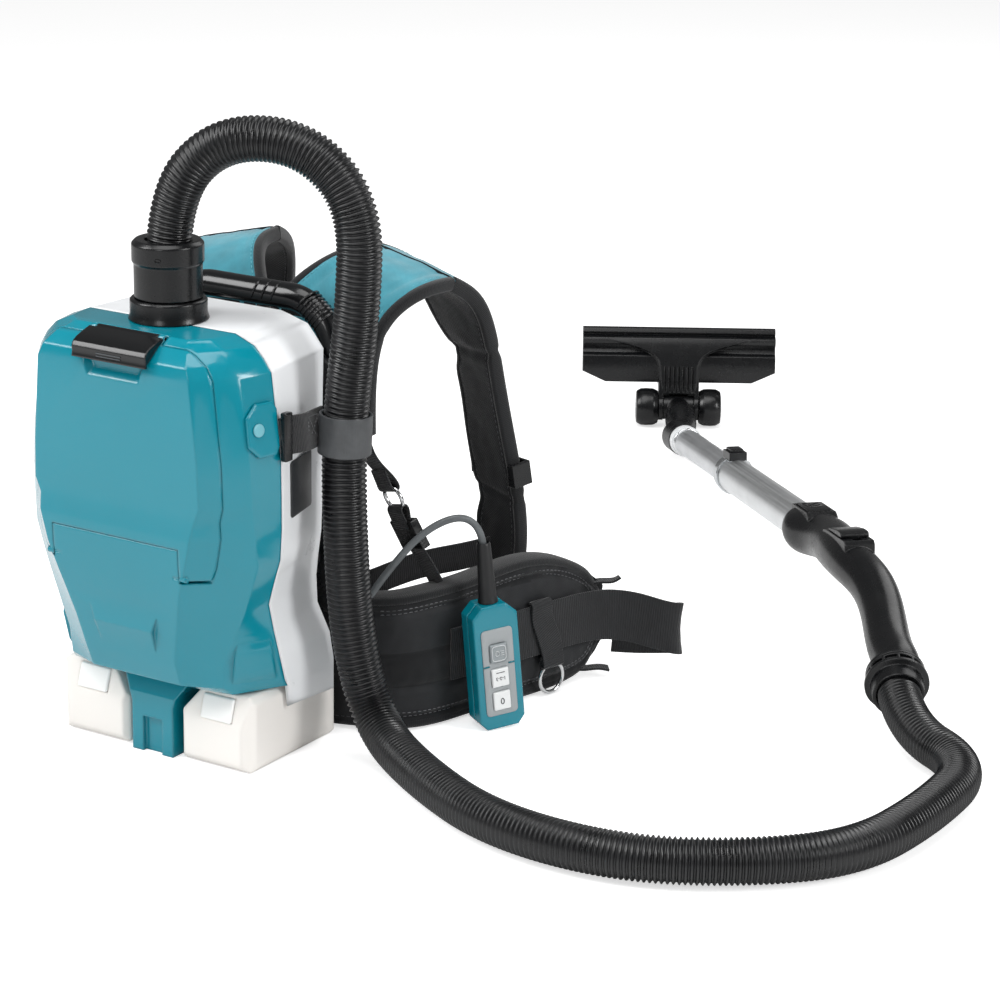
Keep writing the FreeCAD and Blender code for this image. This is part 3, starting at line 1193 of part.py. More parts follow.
half_wide = s.remote_width / 2
half_thick = s.remote_depth / 2
REMOTE_LOOP = [(half_wide - 6, 0), (half_wide, 7), (half_wide, s.remote_length - 9),
               (half_wide - 9, s.remote_length)]
remote_loop = REMOTE_LOOP + [(-x, z) for x, z in REMOTE_LOOP[::-1]]
key_heights = [s.remote_length * 0.23, s.remote_length * 0.42, s.remote_length * 0.62]
front = new_body()
pad(front, "XZ_Plane", remote_loop, half_thick - 0.15, 0.15)
small_loop = [(half_wide - 3, 5), (half_wide - 3, s.remote_length - 9), (3 - half_wide, s.remote_length - 9),
              (3 - half_wide, 5)]
pocket(front, "XZ_Plane", small_loop, half_thick - 4, 0)
for height in key_heights:
    pocket(front, "XZ_Plane", rectangle(-s.key_width / 2 - 0.3, height - s.key_height / 2 - 0.3,
                                        s.key_width / 2 + 0.3, height + s.key_height / 2 + 0.3),
           20, half_thick - 6)
node(at_remote(front), "remote_front")
back = new_body()
pad(back, "XZ_Plane", remote_loop, half_thick - 0.15, -half_thick)
pocket(back, "XZ_Plane", small_loop, half_thick - 2.2, 2.2 - half_thick)
clip = box(18, 40, 26, -18, half_thick - 1, 60)
back_solid = at_remote(fuse([back, clip]))
# The hook at the back ends at the belt's webbing.
belt_way = (band_points[2] - band_points[1]).normalize()
belt_out = Vector(belt_way.y, -belt_way.x, 0)
belt_side = band_points[1] + belt_out * (THIN / 2 + 0.3) - belt_way * 60
belt_space = prism([belt_side, belt_side + belt_way * 160, belt_side + belt_way * 160 - belt_out * 60,
                    belt_side - belt_out * 60], UP * 140)
node(cut(back_solid, shaped(belt_space.translated(Vector(0, 0, -80)))), "remote_back")
for name, height in zip(("stop_button", "speed_button", "light_button"), key_heights):
    key = new_body()
    pad(key, "XZ_Plane", rectangle(-s.key_width / 2, height - s.key_height / 2,
                                   s.key_width / 2, height + s.key_height / 2), 5.2,
        half_thick - 4 + s.key_travel + 0.4)
    node(at_remote(key), name)
boot = new_body()
boot_base = s.remote_length + 0.3
boot_top = boot_base + s.boot_length - 8
turn(boot, "XZ_Plane", [
    (s.cable_radius + 0.3, boot_top - 10), (s.boot_tip_radius, boot_top), (s.boot_tip_radius + 0.8,
                                                                           boot_top - 2),
    (s.boot_radius - 1, boot_base + 5), (s.boot_radius, boot_base), (0, boot_base), (0, boot_top - 10)],
     "Z_Axis")
cable_way = Vector(math.sin(math.radians(-d.remote_lean)) * math.cos(math.radians(d.remote_yaw)),
                   math.sin(math.radians(-d.remote_lean)) * math.sin(math.radians(d.remote_yaw)),
                   math.cos(math.radians(d.remote_lean)))
boot_shape = cut(boot, cylinder(s.cable_radius + 0.3, 20, 0, 0, boot_top - 10))
node(at_remote(boot_shape), "cable_boot")
remote_base = Vector(d.remote_x + 2, d.remote_y + 2, 1.8)
boot_end = remote_base + cable_way * (d.remote_length + 0.3 + d.boot_length - 8 - 9.7)
CABLE_POINTS = [boot_end, boot_end + cable_way * 21, Vector(175, 152, 187), Vector(153, 130, 174),
                Vector(134, 107, 142), Vector(119, 93.5, 112.5), Vector(gland_end + 1.05, 91.1, 108.2)]
cable_edges, cable_radii = rounded_route(CABLE_POINTS)
node(shaped(tube(cable_edges, d.cable_radius)), "remote_cable")
cable_length = sum(edge.Length for edge in cable_edges)
print("cable radii:", ["%.0f" % radius for radius in cable_radii])
print("cable length %.1f, volume %.0f, section times length %.0f"
      % (cable_length, nodes[-1].Shape.Volume, math.pi * d.cable_radius ** 2 * cable_length))


# Wand, in its own frame: X from the floor nozzle to the handle, Z upwards

def at_wand(item):
    return place(item, s.wand_x, s.wand_y, s.wand_z, yaw=s.wand_yaw, pitch=-s.wand_rise)


tube_bore = s.tube_outer_radius - s.tube_wall
slide_radius = s.tube_inner_radius + s.running_gap
tube_low = s.collar_start + 6.3
tube_high = s.handle_start + s.tube_overlap
outer = new_body()
turn(outer, "XZ_Plane", [(tube_low, tube_bore), (tube_high, tube_bore), (tube_high, s.tube_outer_radius),
                         (tube_low, s.tube_outer_radius)], "X_Axis")
node(at_wand(outer), "outer_tube")

inner = new_body()
inner_low = -50
inner_high = s.inner_tube_length + inner_low
band_low = inner_low + 28
guide_radius = tube_bore - 0.08
turn(inner, "XZ_Plane", [
    (inner_low, s.tube_inner_radius - s.tube_wall), (inner_high, s.tube_inner_radius - s.tube_wall),
    (inner_high, guide_radius), (inner_high - 8, guide_radius), (inner_high - 8, s.tube_inner_radius),
    (band_low + s.band_length, s.tube_inner_radius), (band_low + s.band_length, s.tube_inner_radius + 2.4),
    (band_low + 0.4, s.tube_inner_radius + 2.4), (band_low + 0.4, s.tube_inner_radius),
    (inner_low, s.tube_inner_radius)], "X_Axis")
node(at_wand(inner), "inner_tube")

ring_radius = s.tube_outer_radius + 1.3
collar_end = s.collar_start + s.collar_length
grip = new_body()
turn(grip, "XZ_Plane", [
    (s.collar_start, slide_radius), (tube_low - 0.3, slide_radius), (tube_low - 0.3,
                                                                     s.tube_outer_radius + 0.3),
    (collar_end, s.tube_outer_radius + 0.3), (collar_end, ring_radius + 0.4), (collar_end - 0.8,
                                                                               ring_radius + 0.9),
    (collar_end - 2.4, ring_radius + 0.9), (collar_end - 3.2, ring_radius),
    (s.collar_start + 2, ring_radius), (s.collar_start, ring_radius - 1.5)], "X_Axis")
lock_x = s.collar_start + 5
saddle_top = s.tube_outer_radius + s.lock_height - 1.5
saddle = box(24, 18, 11, s.collar_start + 3, -9, saddle_top - 11)
tube_space = cylinder(s.tube_outer_radius + 0.3, 60, tube_low - 0.3, 0, 0, pitch=90)
lock_well = box(19.6, 13.6, 12, lock_x - 0.3, -6.8, s.tube_outer_radius + 1.6)
node(at_wand(cut(fuse([grip, cut(saddle, tube_space)]), lock_well)), "tube_collar")
lock = new_body()
lock_low = s.tube_outer_radius + 1.6 + s.lock_travel + 0.4
lock_high = saddle_top + 3
pad(lock, "XZ_Plane", [(lock_x, lock_low), (lock_x + 19, lock_low), (lock_x + 19, lock_high - 0.5),
                       (lock_x + 17, lock_high), (lock_x + 2, lock_high), (lock_x, lock_high - 0.5)], 13,
                       -6.5)
node(at_wand(lock), "tube_lock")

wand_rotation = FreeCAD.Rotation(d.wand_yaw, -d.wand_rise, 0)
wand_placement = FreeCAD.Placement(Vector(d.wand_x, d.wand_y, d.wand_z), wand_rotation)


def on_wand(x, y=0, z=0):
    return wand_placement.multVec(Vector(x, y, z))


WAND_WAY = on_wand(1) - on_wand(0)
handle_start = on_wand(d.handle_start)
socket_end = on_wand(d.handle_start + d.tube_overlap + 0.3)
grip_radius = d.grip_tube_radius
HANDLE_LINE = [
    (handle_start, WAND_WAY, grip_radius - 0.7), (on_wand(d.handle_start + 50), WAND_WAY, grip_radius + 0.4),
    (Vector(326, 539, 83.5), (Vector(364, 497, 85) - on_wand(d.handle_start + 60)).normalize(),
     grip_radius + 0.8),
    (Vector(364, 497, 85), (Vector(390, 474, 81) - Vector(326, 539, 83.5)).normalize(), grip_radius),
    (Vector(392, 473, 80), (Vector(420, 440, 67) - Vector(364, 497, 85)).normalize(), grip_radius - 0.5),
    (Vector(420, 440, 67), (Vector(452, 394, 51) - Vector(392, 473, 80)).normalize(), grip_radius - 1),
    (Vector(450, 397, 52), HANDLE_WAY, grip_radius - 0.5), (HANDLE_END - HANDLE_WAY * 2.5, HANDLE_WAY,
                                                            grip_radius)]


def circle_wire(centre, way, radius):
    """A circle whose seam lies level, so that a loft through several doesn't twist."""
    side = UP.cross(way).normalize()
    wire = Part.Wire(Part.makeCircle(radius))
    wire.Placement = FreeCAD.Placement(centre, FreeCAD.Rotation(side, way.cross(side), way))
    return wire


handle_outer = Part.makeLoft([circle_wire(*row) for row in HANDLE_LINE], True, False)
narrow = [(socket_end, WAND_WAY, d.tube_outer_radius - 0.6)]
narrow += [(centre, way, d.tube_outer_radius - 0.6) for centre, way, radius in HANDLE_LINE[2:-2]]
narrow += [(Vector(450, 397, 52), HANDLE_WAY, 15.6), (HANDLE_END + HANDLE_WAY * 9, HANDLE_WAY, 14.4)]
handle_inner = Part.makeLoft([circle_wire(*row) for row in narrow], True, False)
socket = Part.makeCylinder(d.tube_outer_radius + 0.3, d.tube_overlap + 1.3, on_wand(d.handle_start - 1),
                           WAND_WAY)


def wand_block(x0, x1, half_y, z0, z1):
    solid = Part.makeBox(x1 - x0, 2 * half_y, z1 - z0, Vector(x0, -half_y, z0))
    solid.Placement = wand_placement.multiply(FreeCAD.Placement(Vector(0, 0, 0), FreeCAD.Rotation()))
    return solid


def wand_hump(points, half_y):
    """A block on the handle from its side view, x and z in the wand's frame."""
    return prism([on_wand(x, -half_y, z) for x, z in points], on_wand(0, 2 * half_y, 0) - on_wand(0))


RELEASE = d.handle_start + 4
SLIDER = d.handle_start + 110
flange = Part.makeCylinder(d.cuff_end_radius - 2, 3, HANDLE_END - HANDLE_WAY * 3, HANDLE_WAY)
spigot = Part.makeCylinder(d.hose_radius - 0.6, 8.2, HANDLE_END - HANDLE_WAY * 0.2, HANDLE_WAY)
release_saddle = wand_hump([(RELEASE - 4, 10), (RELEASE - 4, 20), (RELEASE - 2.5, 21.5), (RELEASE + 42.5,
                                                                                          21.5),
                            (RELEASE + 48, 18), (RELEASE + 48, 8)], 14)
slider_saddle = wand_hump([(SLIDER - 14, 8), (SLIDER - 14, 17), (SLIDER - 4, 18.6), (SLIDER + 49, 18.6),
                           (SLIDER + 52, 15), (SLIDER + 52, 4)], 13.8)
handle = handle_outer.fuse([flange, spigot, release_saddle, slider_saddle])
release_well = wand_block(RELEASE - 0.4, RELEASE + 40.4, 11.9, 19, 40)
slider_deck = wand_block(SLIDER - 0.6, SLIDER + 47, 20, 18.6, 40)
keel_groove = wand_block(SLIDER - 0.5, SLIDER + 46.4, 4.3, 16.9, 20)
slot = wand_block(SLIDER + 2, SLIDER + 7, 3.5, 5, 30)
handle = handle.cut([handle_inner, socket, release_well, slider_deck, keel_groove, slot])
node(shaped(handle), "bent_handle")


def wand_body(name, x0, x1, half_y, z0, z1, rise):
    body = new_body()
    pad(body, "XZ_Plane", [(x0, z0), (x1, z0), (x1, z1 - rise), (x1 - 3, z1), (x0 + 3, z1), (x0, z1 - rise)],
        half_y * 2, -half_y)
    node(at_wand(body), name)


release_x = s.handle_start + 4
slider_x = s.handle_start + 110
slider_end = slider_x + 38 - 0.3
wand_body("wand_release_button", release_x, release_x + 40, as_size(11.5), 19.3 + s.release_travel,
          21.5 + s.release_travel, 1.2)
slider = new_body()
pad(slider, "XZ_Plane", [(slider_x, 19), (slider_end, 19), (slider_end, 21), (slider_end - 1, 23),
                         (slider_end - 4, 24), (slider_x + 24, 24), (slider_x + 3, 21.4), (slider_x, 20.4)],
                         26, -13)
pad(slider, "XZ_Plane", [(slider_x, 17.2), (slider_end, 17.2), (slider_end, 19.5), (slider_x, 19.5)], 8, -4)
node(at_wand(slider), "relief_slider")

# Cuff that turns on the handle's end, turned about its own Z and laid along the handle's end
end_cuff = new_body()
neck = s.hose_radius - 0.6 + s.running_gap
seat = s.hose_radius + 0.3
turn(end_cuff, "XZ_Plane", [
    (neck, 0.4), (s.cuff_end_radius - 2, 0.4), (s.cuff_end_radius - 2, 3), (s.hose_radius + 4, 3),
    (s.hose_radius + 4, 10), (s.cuff_end_radius, 10), (s.cuff_end_radius, 13), (s.hose_radius + 4.5, 14),
    (s.hose_radius + 3.5, 27), (seat, 27), (seat, 8.6), (neck, 8.6)], "Z_Axis")
cuff_ribs = [end_cuff]
for index in range(12):
    angle = 30.0 * index
    cosine, sine = math.cos(math.radians(angle)), math.sin(math.radians(angle))
    cuff_ribs.append(box(3.6, 2, 8, (d.hose_radius + 3.4) * cosine + sine,
                         (d.hose_radius + 3.4) * sine - cosine,
                         2.5, yaw=angle))
end_solid = fuse(cuff_ribs)
handle_yaw = math.degrees(math.atan2(HANDLE_WAY.y, HANDLE_WAY.x))
handle_lean = math.degrees(math.acos(HANDLE_WAY.z))
node(place(end_solid, HANDLE_END.x, HANDLE_END.y, HANDLE_END.z, yaw=handle_yaw, pitch=handle_lean),
     "handle_cuff")


# Floor nozzle, in its own frame: X along the axle, Y towards the head, Z out of the head's top

def at_nozzle(item):
    return place(item, s.nozzle_x, s.nozzle_y, s.roller_radius + 0.3, yaw=s.nozzle_yaw, roll=s.nozzle_lean)


for side, name in ((1, "right_roller"), (-1, "left_roller")):
    roller = new_body()
    low = s.ear_outer + 0.4
    high = low + s.roller_width
    bore = s.axle_radius + s.running_gap
    loop = [(low, bore), (high, bore), (high, s.roller_radius - 3), (high - 5, s.roller_radius - 0.4),
            (high - 11, s.roller_radius), (low + 5, s.roller_radius - 0.4), (low, s.roller_radius - 3)]
    turn(roller, "XZ_Plane", [(x * side, z) for x, z in loop], "X_Axis")
    node(at_nozzle(roller), name)
axle = new_body()
axle_end = s.ear_outer + 0.4 + s.roller_width
turn(axle, "XZ_Plane", [(-axle_end, 0), (axle_end, 0), (axle_end, s.axle_radius), (-axle_end, s.axle_radius)],
     "X_Axis")
node(at_nozzle(axle), "roller_axle")

nozzle_rotation = FreeCAD.Rotation(d.nozzle_yaw, 0, d.nozzle_lean)
nozzle_spot = Vector(d.nozzle_x, d.nozzle_y, d.roller_radius + 0.3)
nozzle_placement = FreeCAD.Placement(nozzle_spot, nozzle_rotation)

HEAD = d.head_half_width
PROFILE = [(d.head_rear, -12), (d.head_rear + 5, d.head_base + 1), (d.head_rear + 9, d.head_base),
           (d.head_front - 7, d.head_base), (d.head_front, d.head_base + 4), (d.head_front, -2),
           (d.head_front - 2, 2.4), (d.head_front - 6.5, 3.6), (d.head_front - 8.5, 0.8),
           (d.head_front - 10, 4),
           (75.5, 8.2), (72.5, d.head_top), (69.5, 7.6), (66.5, 4), (63, 1.6), (59.5, 2.6), (57.5, 5.6),
           (55.5, 7.2), (46, 7), (36, 4.6), (d.head_rear, 0)]


def nozzle_box(x0, x1, y0, y1, z0, z1):
    return Part.makeBox(x1 - x0, y1 - y0, z1 - z0, Vector(x0, y0, z0))


head = prism([Vector(-HEAD, y, z) for y, z in PROFILE], Vector(2 * HEAD, 0, 0))
for side in (-1, 1):
    corner = [Vector(side * (HEAD + 1), d.head_rear - 5, -30), Vector(side * (HEAD - 30), d.head_rear - 2,
                                                                      -30),
              Vector(side * (HEAD + 1), d.head_rear + 12, -30)]
    head = head.cut(prism(corner, Vector(0, 0, 60)))
# The neck widens into shoulders that run out along the head's raised bead
NECK = [(14, 20, 10.5), (21, 20, 12.8), (27, 20.6, 13.4), (44, 21.5, 13), (51, 23.5, 12.4), (56.5, 28, 11.8),
        (61, 35, 11.2), (65, 45, 10.6), (68.5, 58, 10), (72.5, 78, 9.2), (75.5, 80, 8.3), (78, 60, 4.4)]
neck = facet_loft([[Vector(-half - 2, y, -13), Vector(half + 2, y, -13), Vector(half + 1.2, y, top - 3),
                    Vector(half - 1.8, y, top), Vector(-half + 1.8, y, top), Vector(-half - 1.2, y, top - 3)]
                   for y, half, top in NECK])
hood = Part.makeCylinder(16, 2 * d.ear_outer, Vector(-d.ear_outer, 0, 0), Vector(1, 0, 0)).common(
    nozzle_box(-30, 30, 0, 20, -16, 6.5))
ears = [Part.makeCylinder(d.ear_radius, d.ear_outer - d.ear_inner, Vector(x, 0, 0), Vector(1, 0, 0))
        for x in (d.ear_inner, -d.ear_outer)]
ears += [nozzle_box(d.ear_inner, d.ear_outer, 0, 30, -11, 12), nozzle_box(-d.ear_outer, -d.ear_inner, 0, 30,
                                                                          -11, 12)]
head = head.fuse([neck, hood] + ears)
barrel_room = Part.makeCylinder(d.barrel_radius + 0.3, 2 * d.ear_inner, Vector(-d.ear_inner, 0, 0),
                                Vector(1, 0, 0))
mouth = nozzle_box(-d.mouth_half_width, d.mouth_half_width, d.head_rear + 14, d.head_front - 14,
                   d.head_base - 1, d.head_base + d.mouth_depth)
duct = facet_loft([
    [Vector(-9, 5, -7), Vector(9, 5, -7), Vector(9, 5, 8), Vector(-9, 5, 8)],
    [Vector(-13, 34, -9), Vector(13, 34, -9), Vector(13, 34, 6), Vector(-13, 34, 6)],
    [Vector(-26, 66, -12), Vector(26, 66, -12), Vector(26, 66, 2), Vector(-26, 66, 2)]])
axle_bore = Part.makeCylinder(d.axle_radius + d.running_gap, 120, Vector(-60, 0, 0), Vector(1, 0, 0))
tools = [barrel_room, mouth, duct, axle_bore]
ribs = int(d.neck_rib_count)
for index in range(ribs):
    middle = (index - (ribs - 1) / 2) * 5
    tools.append(nozzle_box(middle - 1, middle + 1, 16, 44, 10.8, 20))
head = head.cut(tools).removeSplitter()
head.Placement = nozzle_placement
node(shaped(head), "nozzle_head")

# Elbow: a barrel on the axle that leads into the sleeve round the inner tube
AWAY = nozzle_rotation.multVec(Vector(1, 0, 0)).cross(UP).normalize()
AXLE_WAY = nozzle_rotation.multVec(Vector(1, 0, 0))
barrel = Part.makeCylinder(d.barrel_radius, 2 * d.ear_inner - 0.8,
                           nozzle_spot - AXLE_WAY * (d.ear_inner - 0.4), AXLE_WAY)
sleeve_radius = d.tube_inner_radius + 3
SLEEVE = -52
elbow_line = [(nozzle_spot + AWAY * 6, AWAY, 12.2), (nozzle_spot + AWAY * 16, AWAY, 12.8),
              (nozzle_spot + AWAY * 34, AWAY, 15), (nozzle_spot + AWAY * 80, AWAY, 15.6),
              (on_wand(SLEEVE), WAND_WAY, sleeve_radius)]
elbow_outer = Part.makeLoft([circle_wire(*row) for row in elbow_line], True, False)
sleeve_tube = Part.makeCylinder(sleeve_radius, 29.7, on_wand(SLEEVE), WAND_WAY)
elbow_bore = Part.makeLoft([circle_wire(centre, way, radius - 2.6) for centre, way, radius in
                            [(nozzle_spot + AWAY * 2, AWAY, 11)] + elbow_line[1:4]
                            + [(on_wand(SLEEVE + 1.7), WAND_WAY, 15.6)]], True, False)
sleeve_bore = Part.makeCylinder(d.tube_inner_radius + d.running_gap, 40, on_wand(SLEEVE + 1.7), WAND_WAY)
barrel_hollow = Part.makeCylinder(10.6, 26, nozzle_spot - AXLE_WAY * 13, AXLE_WAY)
elbow_axle = Part.makeCylinder(d.axle_radius + d.running_gap, 80, nozzle_spot - AXLE_WAY * 40, AXLE_WAY)
barrel_mouth = Part.makeBox(17, 16, 11, Vector(-8.5, 0, -5))
barrel_mouth.Placement = nozzle_placement
elbow = elbow_outer.fuse([barrel, sleeve_tube]).cut([elbow_bore, sleeve_bore, barrel_hollow, elbow_axle,
                                                     barrel_mouth])
node(shaped(elbow), "nozzle_elbow")


# Check and export

doc.recompute()
problems = []
for item in doc.Objects:
    if "Invalid" in item.State or "Error" in item.State:
        problems.append("%s (%s)" % (item.Label, item.Name))
for item in nodes:
    shape = item.Shape
    if shape.isNull() or not shape.isValid() or not shape.Solids:
        problems.append("shape of " + item.Label)
    elif any(not solid.isClosed() for solid in shape.Solids):
        problems.append("open solid in " + item.Label)
if problems:
    raise RuntimeError("not built: " + ", ".join(problems))
os.makedirs("parts", exist_ok=True)
for item in nodes:
    item.Shape.exportStep("parts/%s.step" % item.Label)
print("parts written:", len(nodes))
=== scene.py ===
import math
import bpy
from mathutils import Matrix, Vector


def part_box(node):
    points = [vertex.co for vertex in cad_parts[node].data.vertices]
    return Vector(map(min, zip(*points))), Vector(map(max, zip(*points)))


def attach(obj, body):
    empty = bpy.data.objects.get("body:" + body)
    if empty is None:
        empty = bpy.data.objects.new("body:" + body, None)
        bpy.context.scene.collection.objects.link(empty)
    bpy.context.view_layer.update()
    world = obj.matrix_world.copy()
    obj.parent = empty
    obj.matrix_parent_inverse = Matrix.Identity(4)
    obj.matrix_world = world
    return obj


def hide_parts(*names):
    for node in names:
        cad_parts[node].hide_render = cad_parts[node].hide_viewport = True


bl_info = {
    "name": "Backpack vacuum cleaner",
    "version": (1, 0, 0),
    "blender": (4, 5, 0),
    "location": "3D View > Sidebar > Vacuum",
    "description": "Dresses the packed backpack vacuum cleaner: finishes, hose, harness, fittings and stage",
    "category": "Object",
}

import bmesh
import bpy
import numpy as np
from mathutils import Matrix, Vector, noise

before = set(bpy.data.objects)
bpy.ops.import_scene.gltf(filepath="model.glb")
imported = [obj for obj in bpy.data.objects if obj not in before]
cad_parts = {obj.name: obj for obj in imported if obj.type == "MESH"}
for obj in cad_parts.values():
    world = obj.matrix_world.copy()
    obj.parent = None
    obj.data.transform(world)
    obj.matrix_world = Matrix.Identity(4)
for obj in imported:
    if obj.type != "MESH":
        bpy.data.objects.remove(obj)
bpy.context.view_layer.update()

UP = Vector((0, 0, 1))

# Routes and stations, in metres, in the frame of the CAD model
WAND_WAY = Vector((0.50998, -0.81219, -0.28332))
HOSE_END = Vector((0.46676, 0.37049, 0.0428))
HOSE_ROUTE = [
    (0, -0.001, 0.390), (0, -0.001, 0.452), (0.040, 0.012, 0.502), (0.104, 0.036, 0.503),
    (0.150, 0.046, 0.458), (0.145, 0.050, 0.372), (0.131, 0.051, 0.282), (0.136, 0.045, 0.190),
    (0.136, 0.056, 0.095), (0.156, 0.062, 0.025), (0.232, 0.011, 0.0191), (0.330, -0.039, 0.0191),
    (0.440, -0.040, 0.0191), (0.525, 0.008, 0.0191), (0.582, 0.072, 0.0191), (0.592, 0.170, 0.0191),
    (0.584, 0.270, 0.0191), tuple(HOSE_END + WAND_WAY * 0.070), tuple(HOSE_END + WAND_WAY * 0.009)]
BOOT_END = (0.1876, 0.1689, 0.1517)
CABLE_ROUTE = [
    BOOT_END, (0.1865, 0.1672, 0.1726), (0.175, 0.152, 0.187), (0.153, 0.130, 0.174),
    (0.134, 0.107, 0.142), (0.119, 0.0935, 0.1125), (0.10025, 0.0911, 0.1082)]

# A station of a padded piece: centre, way across, way through, width, thickness
YOKE_ARM = [
    ((0.053, 0.1266, 0.248), (1, 0, 0), (0, 1, 0), 0.106, 0.012),
    ((0.053, 0.1266, 0.280), (1, 0, 0), (0, 1, 0), 0.106, 0.012),
    ((0.054, 0.128, 0.308), (1, 0, 0), (0, 1, -0.15), 0.107, 0.012),
    ((0.058, 0.134, 0.336), (1, 0, -0.03), (0, 1, -0.55), 0.108, 0.012),
    ((0.072, 0.152, 0.360), (1, 0, -0.12), (0.1, 0.7, -0.85), 0.100, 0.012),
    ((0.083, 0.176, 0.370), (1, 0, -0.2), (0.2, 0.2, -1), 0.092, 0.012),
    ((0.088, 0.206, 0.371), (1, 0, -0.24), (0.24, -0.05, -1), 0.088, 0.012)]
STRAP = [
    ((0.088, 0.2066, 0.371), (1, 0, -0.24), (0.24, -0.05, -1), 0.088, 0.014),
    ((0.098, 0.240, 0.352), (1, -0.2, -0.2), (-0.42, -0.84, -1.07), 0.076, 0.014),
    ((0.108, 0.262, 0.312), (0.96, -0.3, 0), (-0.3, -0.96, -0.49), 0.062, 0.014),
    ((0.113, 0.278, 0.262), (0.94, -0.34, 0), (-0.34, -0.94, -0.27), 0.052, 0.014),
    ((0.118, 0.288, 0.210), (0.95, -0.3, 0), (-0.3, -0.95, -0.16), 0.050, 0.014),
    ((0.124, 0.292, 0.160), (0.97, -0.22, 0), (-0.22, -0.97, -0.05), 0.050, 0.014),
    ((0.130, 0.288, 0.115), (0.98, -0.18, 0), (-0.18, -0.98, 0.13), 0.046, 0.014),
    ((0.134, 0.282, 0.090), (0.98, -0.18, 0), (-0.18, -0.98, 0.23), 0.036, 0.014)]
LUMBAR = [
    ((-0.112, 0.116, 0.060), (0, 0, 1), (0.35, 1, 0), 0.112, 0.026),
    ((-0.070, 0.108, 0.060), (0, 0, 1), (0.12, 1, 0), 0.116, 0.025),
    ((0, 0.1072, 0.060), (0, 0, 1), (0, 1, 0), 0.116, 0.025),
    ((0.070, 0.108, 0.060), (0, 0, 1), (-0.12, 1, 0), 0.116, 0.025),
    ((0.112, 0.116, 0.060), (0, 0, 1), (-0.35, 1, 0), 0.112, 0.026)]
WING = [
    ((0.1125, 0.1162, 0.060), (0, 0, 1), (-0.35, 1, 0), 0.112, 0.026),
    ((0.128, 0.125, 0.060), (0, 0, 1), (-0.68, 0.74, 0), 0.114, 0.026),
    ((0.142, 0.147, 0.060), (0, 0, 1), (-0.9, 0.43, 0), 0.117, 0.026),
    ((0.154, 0.186, 0.0605), (0, 0, 1), (-0.95, 0.3, 0), 0.118, 0.026),
    ((0.171, 0.248, 0.0625), (0, 0, 1), (-0.96, 0.27, 0), 0.122, 0.026),
    ((0.184, 0.300, 0.0570), (0, 0, 1), (-0.96, 0.26, 0), 0.107, 0.024),
    ((0.190, 0.323, 0.0530), (0, 0, 1), (-0.96, 0.26, 0), 0.086, 0.018),
    ((0.196, 0.344, 0.0530), (0, 0, 1), (-0.96, 0.26, 0), 0.050, 0.013)]
BELT_BAND = [
    (0.162, 0.160, 0.061), (0.1715, 0.190, 0.061), (0.1875, 0.248, 0.061), (0.2005, 0.300, 0.060),
    (0.213, 0.325, 0.059), (0.234, 0.342, 0.055), (0.254, 0.351, 0.050), (0.264, 0.359, 0.047),
    (0.262, 0.367, 0.044), (0.247, 0.367, 0.041), (0.228, 0.360, 0.039), (0.208, 0.347, 0.040)]
BACK = [((0, 0.1068, high), (-1, 0, 0), (0, 1, 0), 0.124, 0.025) for high in (0.126, 0.2055, 0.285)]

# Above this height the yoke lies on the shoulders, and above the other the strap's outside is teal
YOKE_BEND = 0.33
STRAP_SEAM = 0.295
# Where the shoulder strap narrows (or swells): by how much, at what height, and how far along
STRAP_PINCHES = (
    (0.0046, 0.287, 0.013), (0.0034, 0.157, 0.013), (-0.0022, 0.325, 0.020), (-0.0012, 0.215, 0.030))
# Seams along the belt wing: share of its half width, depth and width
WING_SEAMS = ((0.76, 0.22, 0.0025), (-0.82, 0.22, 0.0025), (0.11, 0.16, 0.0035), (-0.38, 0.16, 0.0035))
# The sewn web on each side: its ring, and its far points above and below the ring's loops
WEB_RING = (0.113, 0.147, 0.191)
WEB_ENDS = ((-1, [(0.099, 0.132, 0.228), (0.095, 0.127, 0.247)]),
            (1, [(0.131, 0.158, 0.145), (0.145, 0.164, 0.1193)]))
LOW_WEB = [(0.121, 0.2815, 0.112), (0.110, 0.249, 0.112), (0.096, 0.214, 0.112), (0.079, 0.168, 0.106),
           (0.062, 0.1218, 0.100)]
# A tape's turn round its ring: how far out and how far on
RING_LOOP = (
    (0.0036, 0.016), (0.0038, 0.003), (0.0022, -0.0034), (-0.0022, -0.0034), (-0.0030, 0.003), (0, 0.012))
# The hose keeper's strap, and the height of its sleeve on the hose
KEEPER_RUN = [(0.1172, -0.0130, 0.2806), (0.1180, -0.0050, 0.2806), (0.1184, 0.014, 0.2786),
              (0.1130, 0.036, 0.2760), (0.1102, 0.052, 0.2750)]
KEEPER_HEIGHT = 0.272
# The loose tape ends of a belt wing
TAPE_ENDS = [
    ((0.1935, 0.333, 0.0825), (0.2010, 0.3405, 0.0830), (0.2080, 0.3465, 0.0835), (0.2115, 0.3500, 0.0860)),
    ((0.1875, 0.312, 0.0095), (0.1960, 0.3200, 0.0080), (0.2060, 0.3285, 0.0085), (0.2120, 0.3335, 0.0070))]

# The turn in degrees up to which pads and rings, webs, and short tapes are smooth
PAD_ANGLE, WEB_ANGLE, TAPE_ANGLE = 60, 40, 35

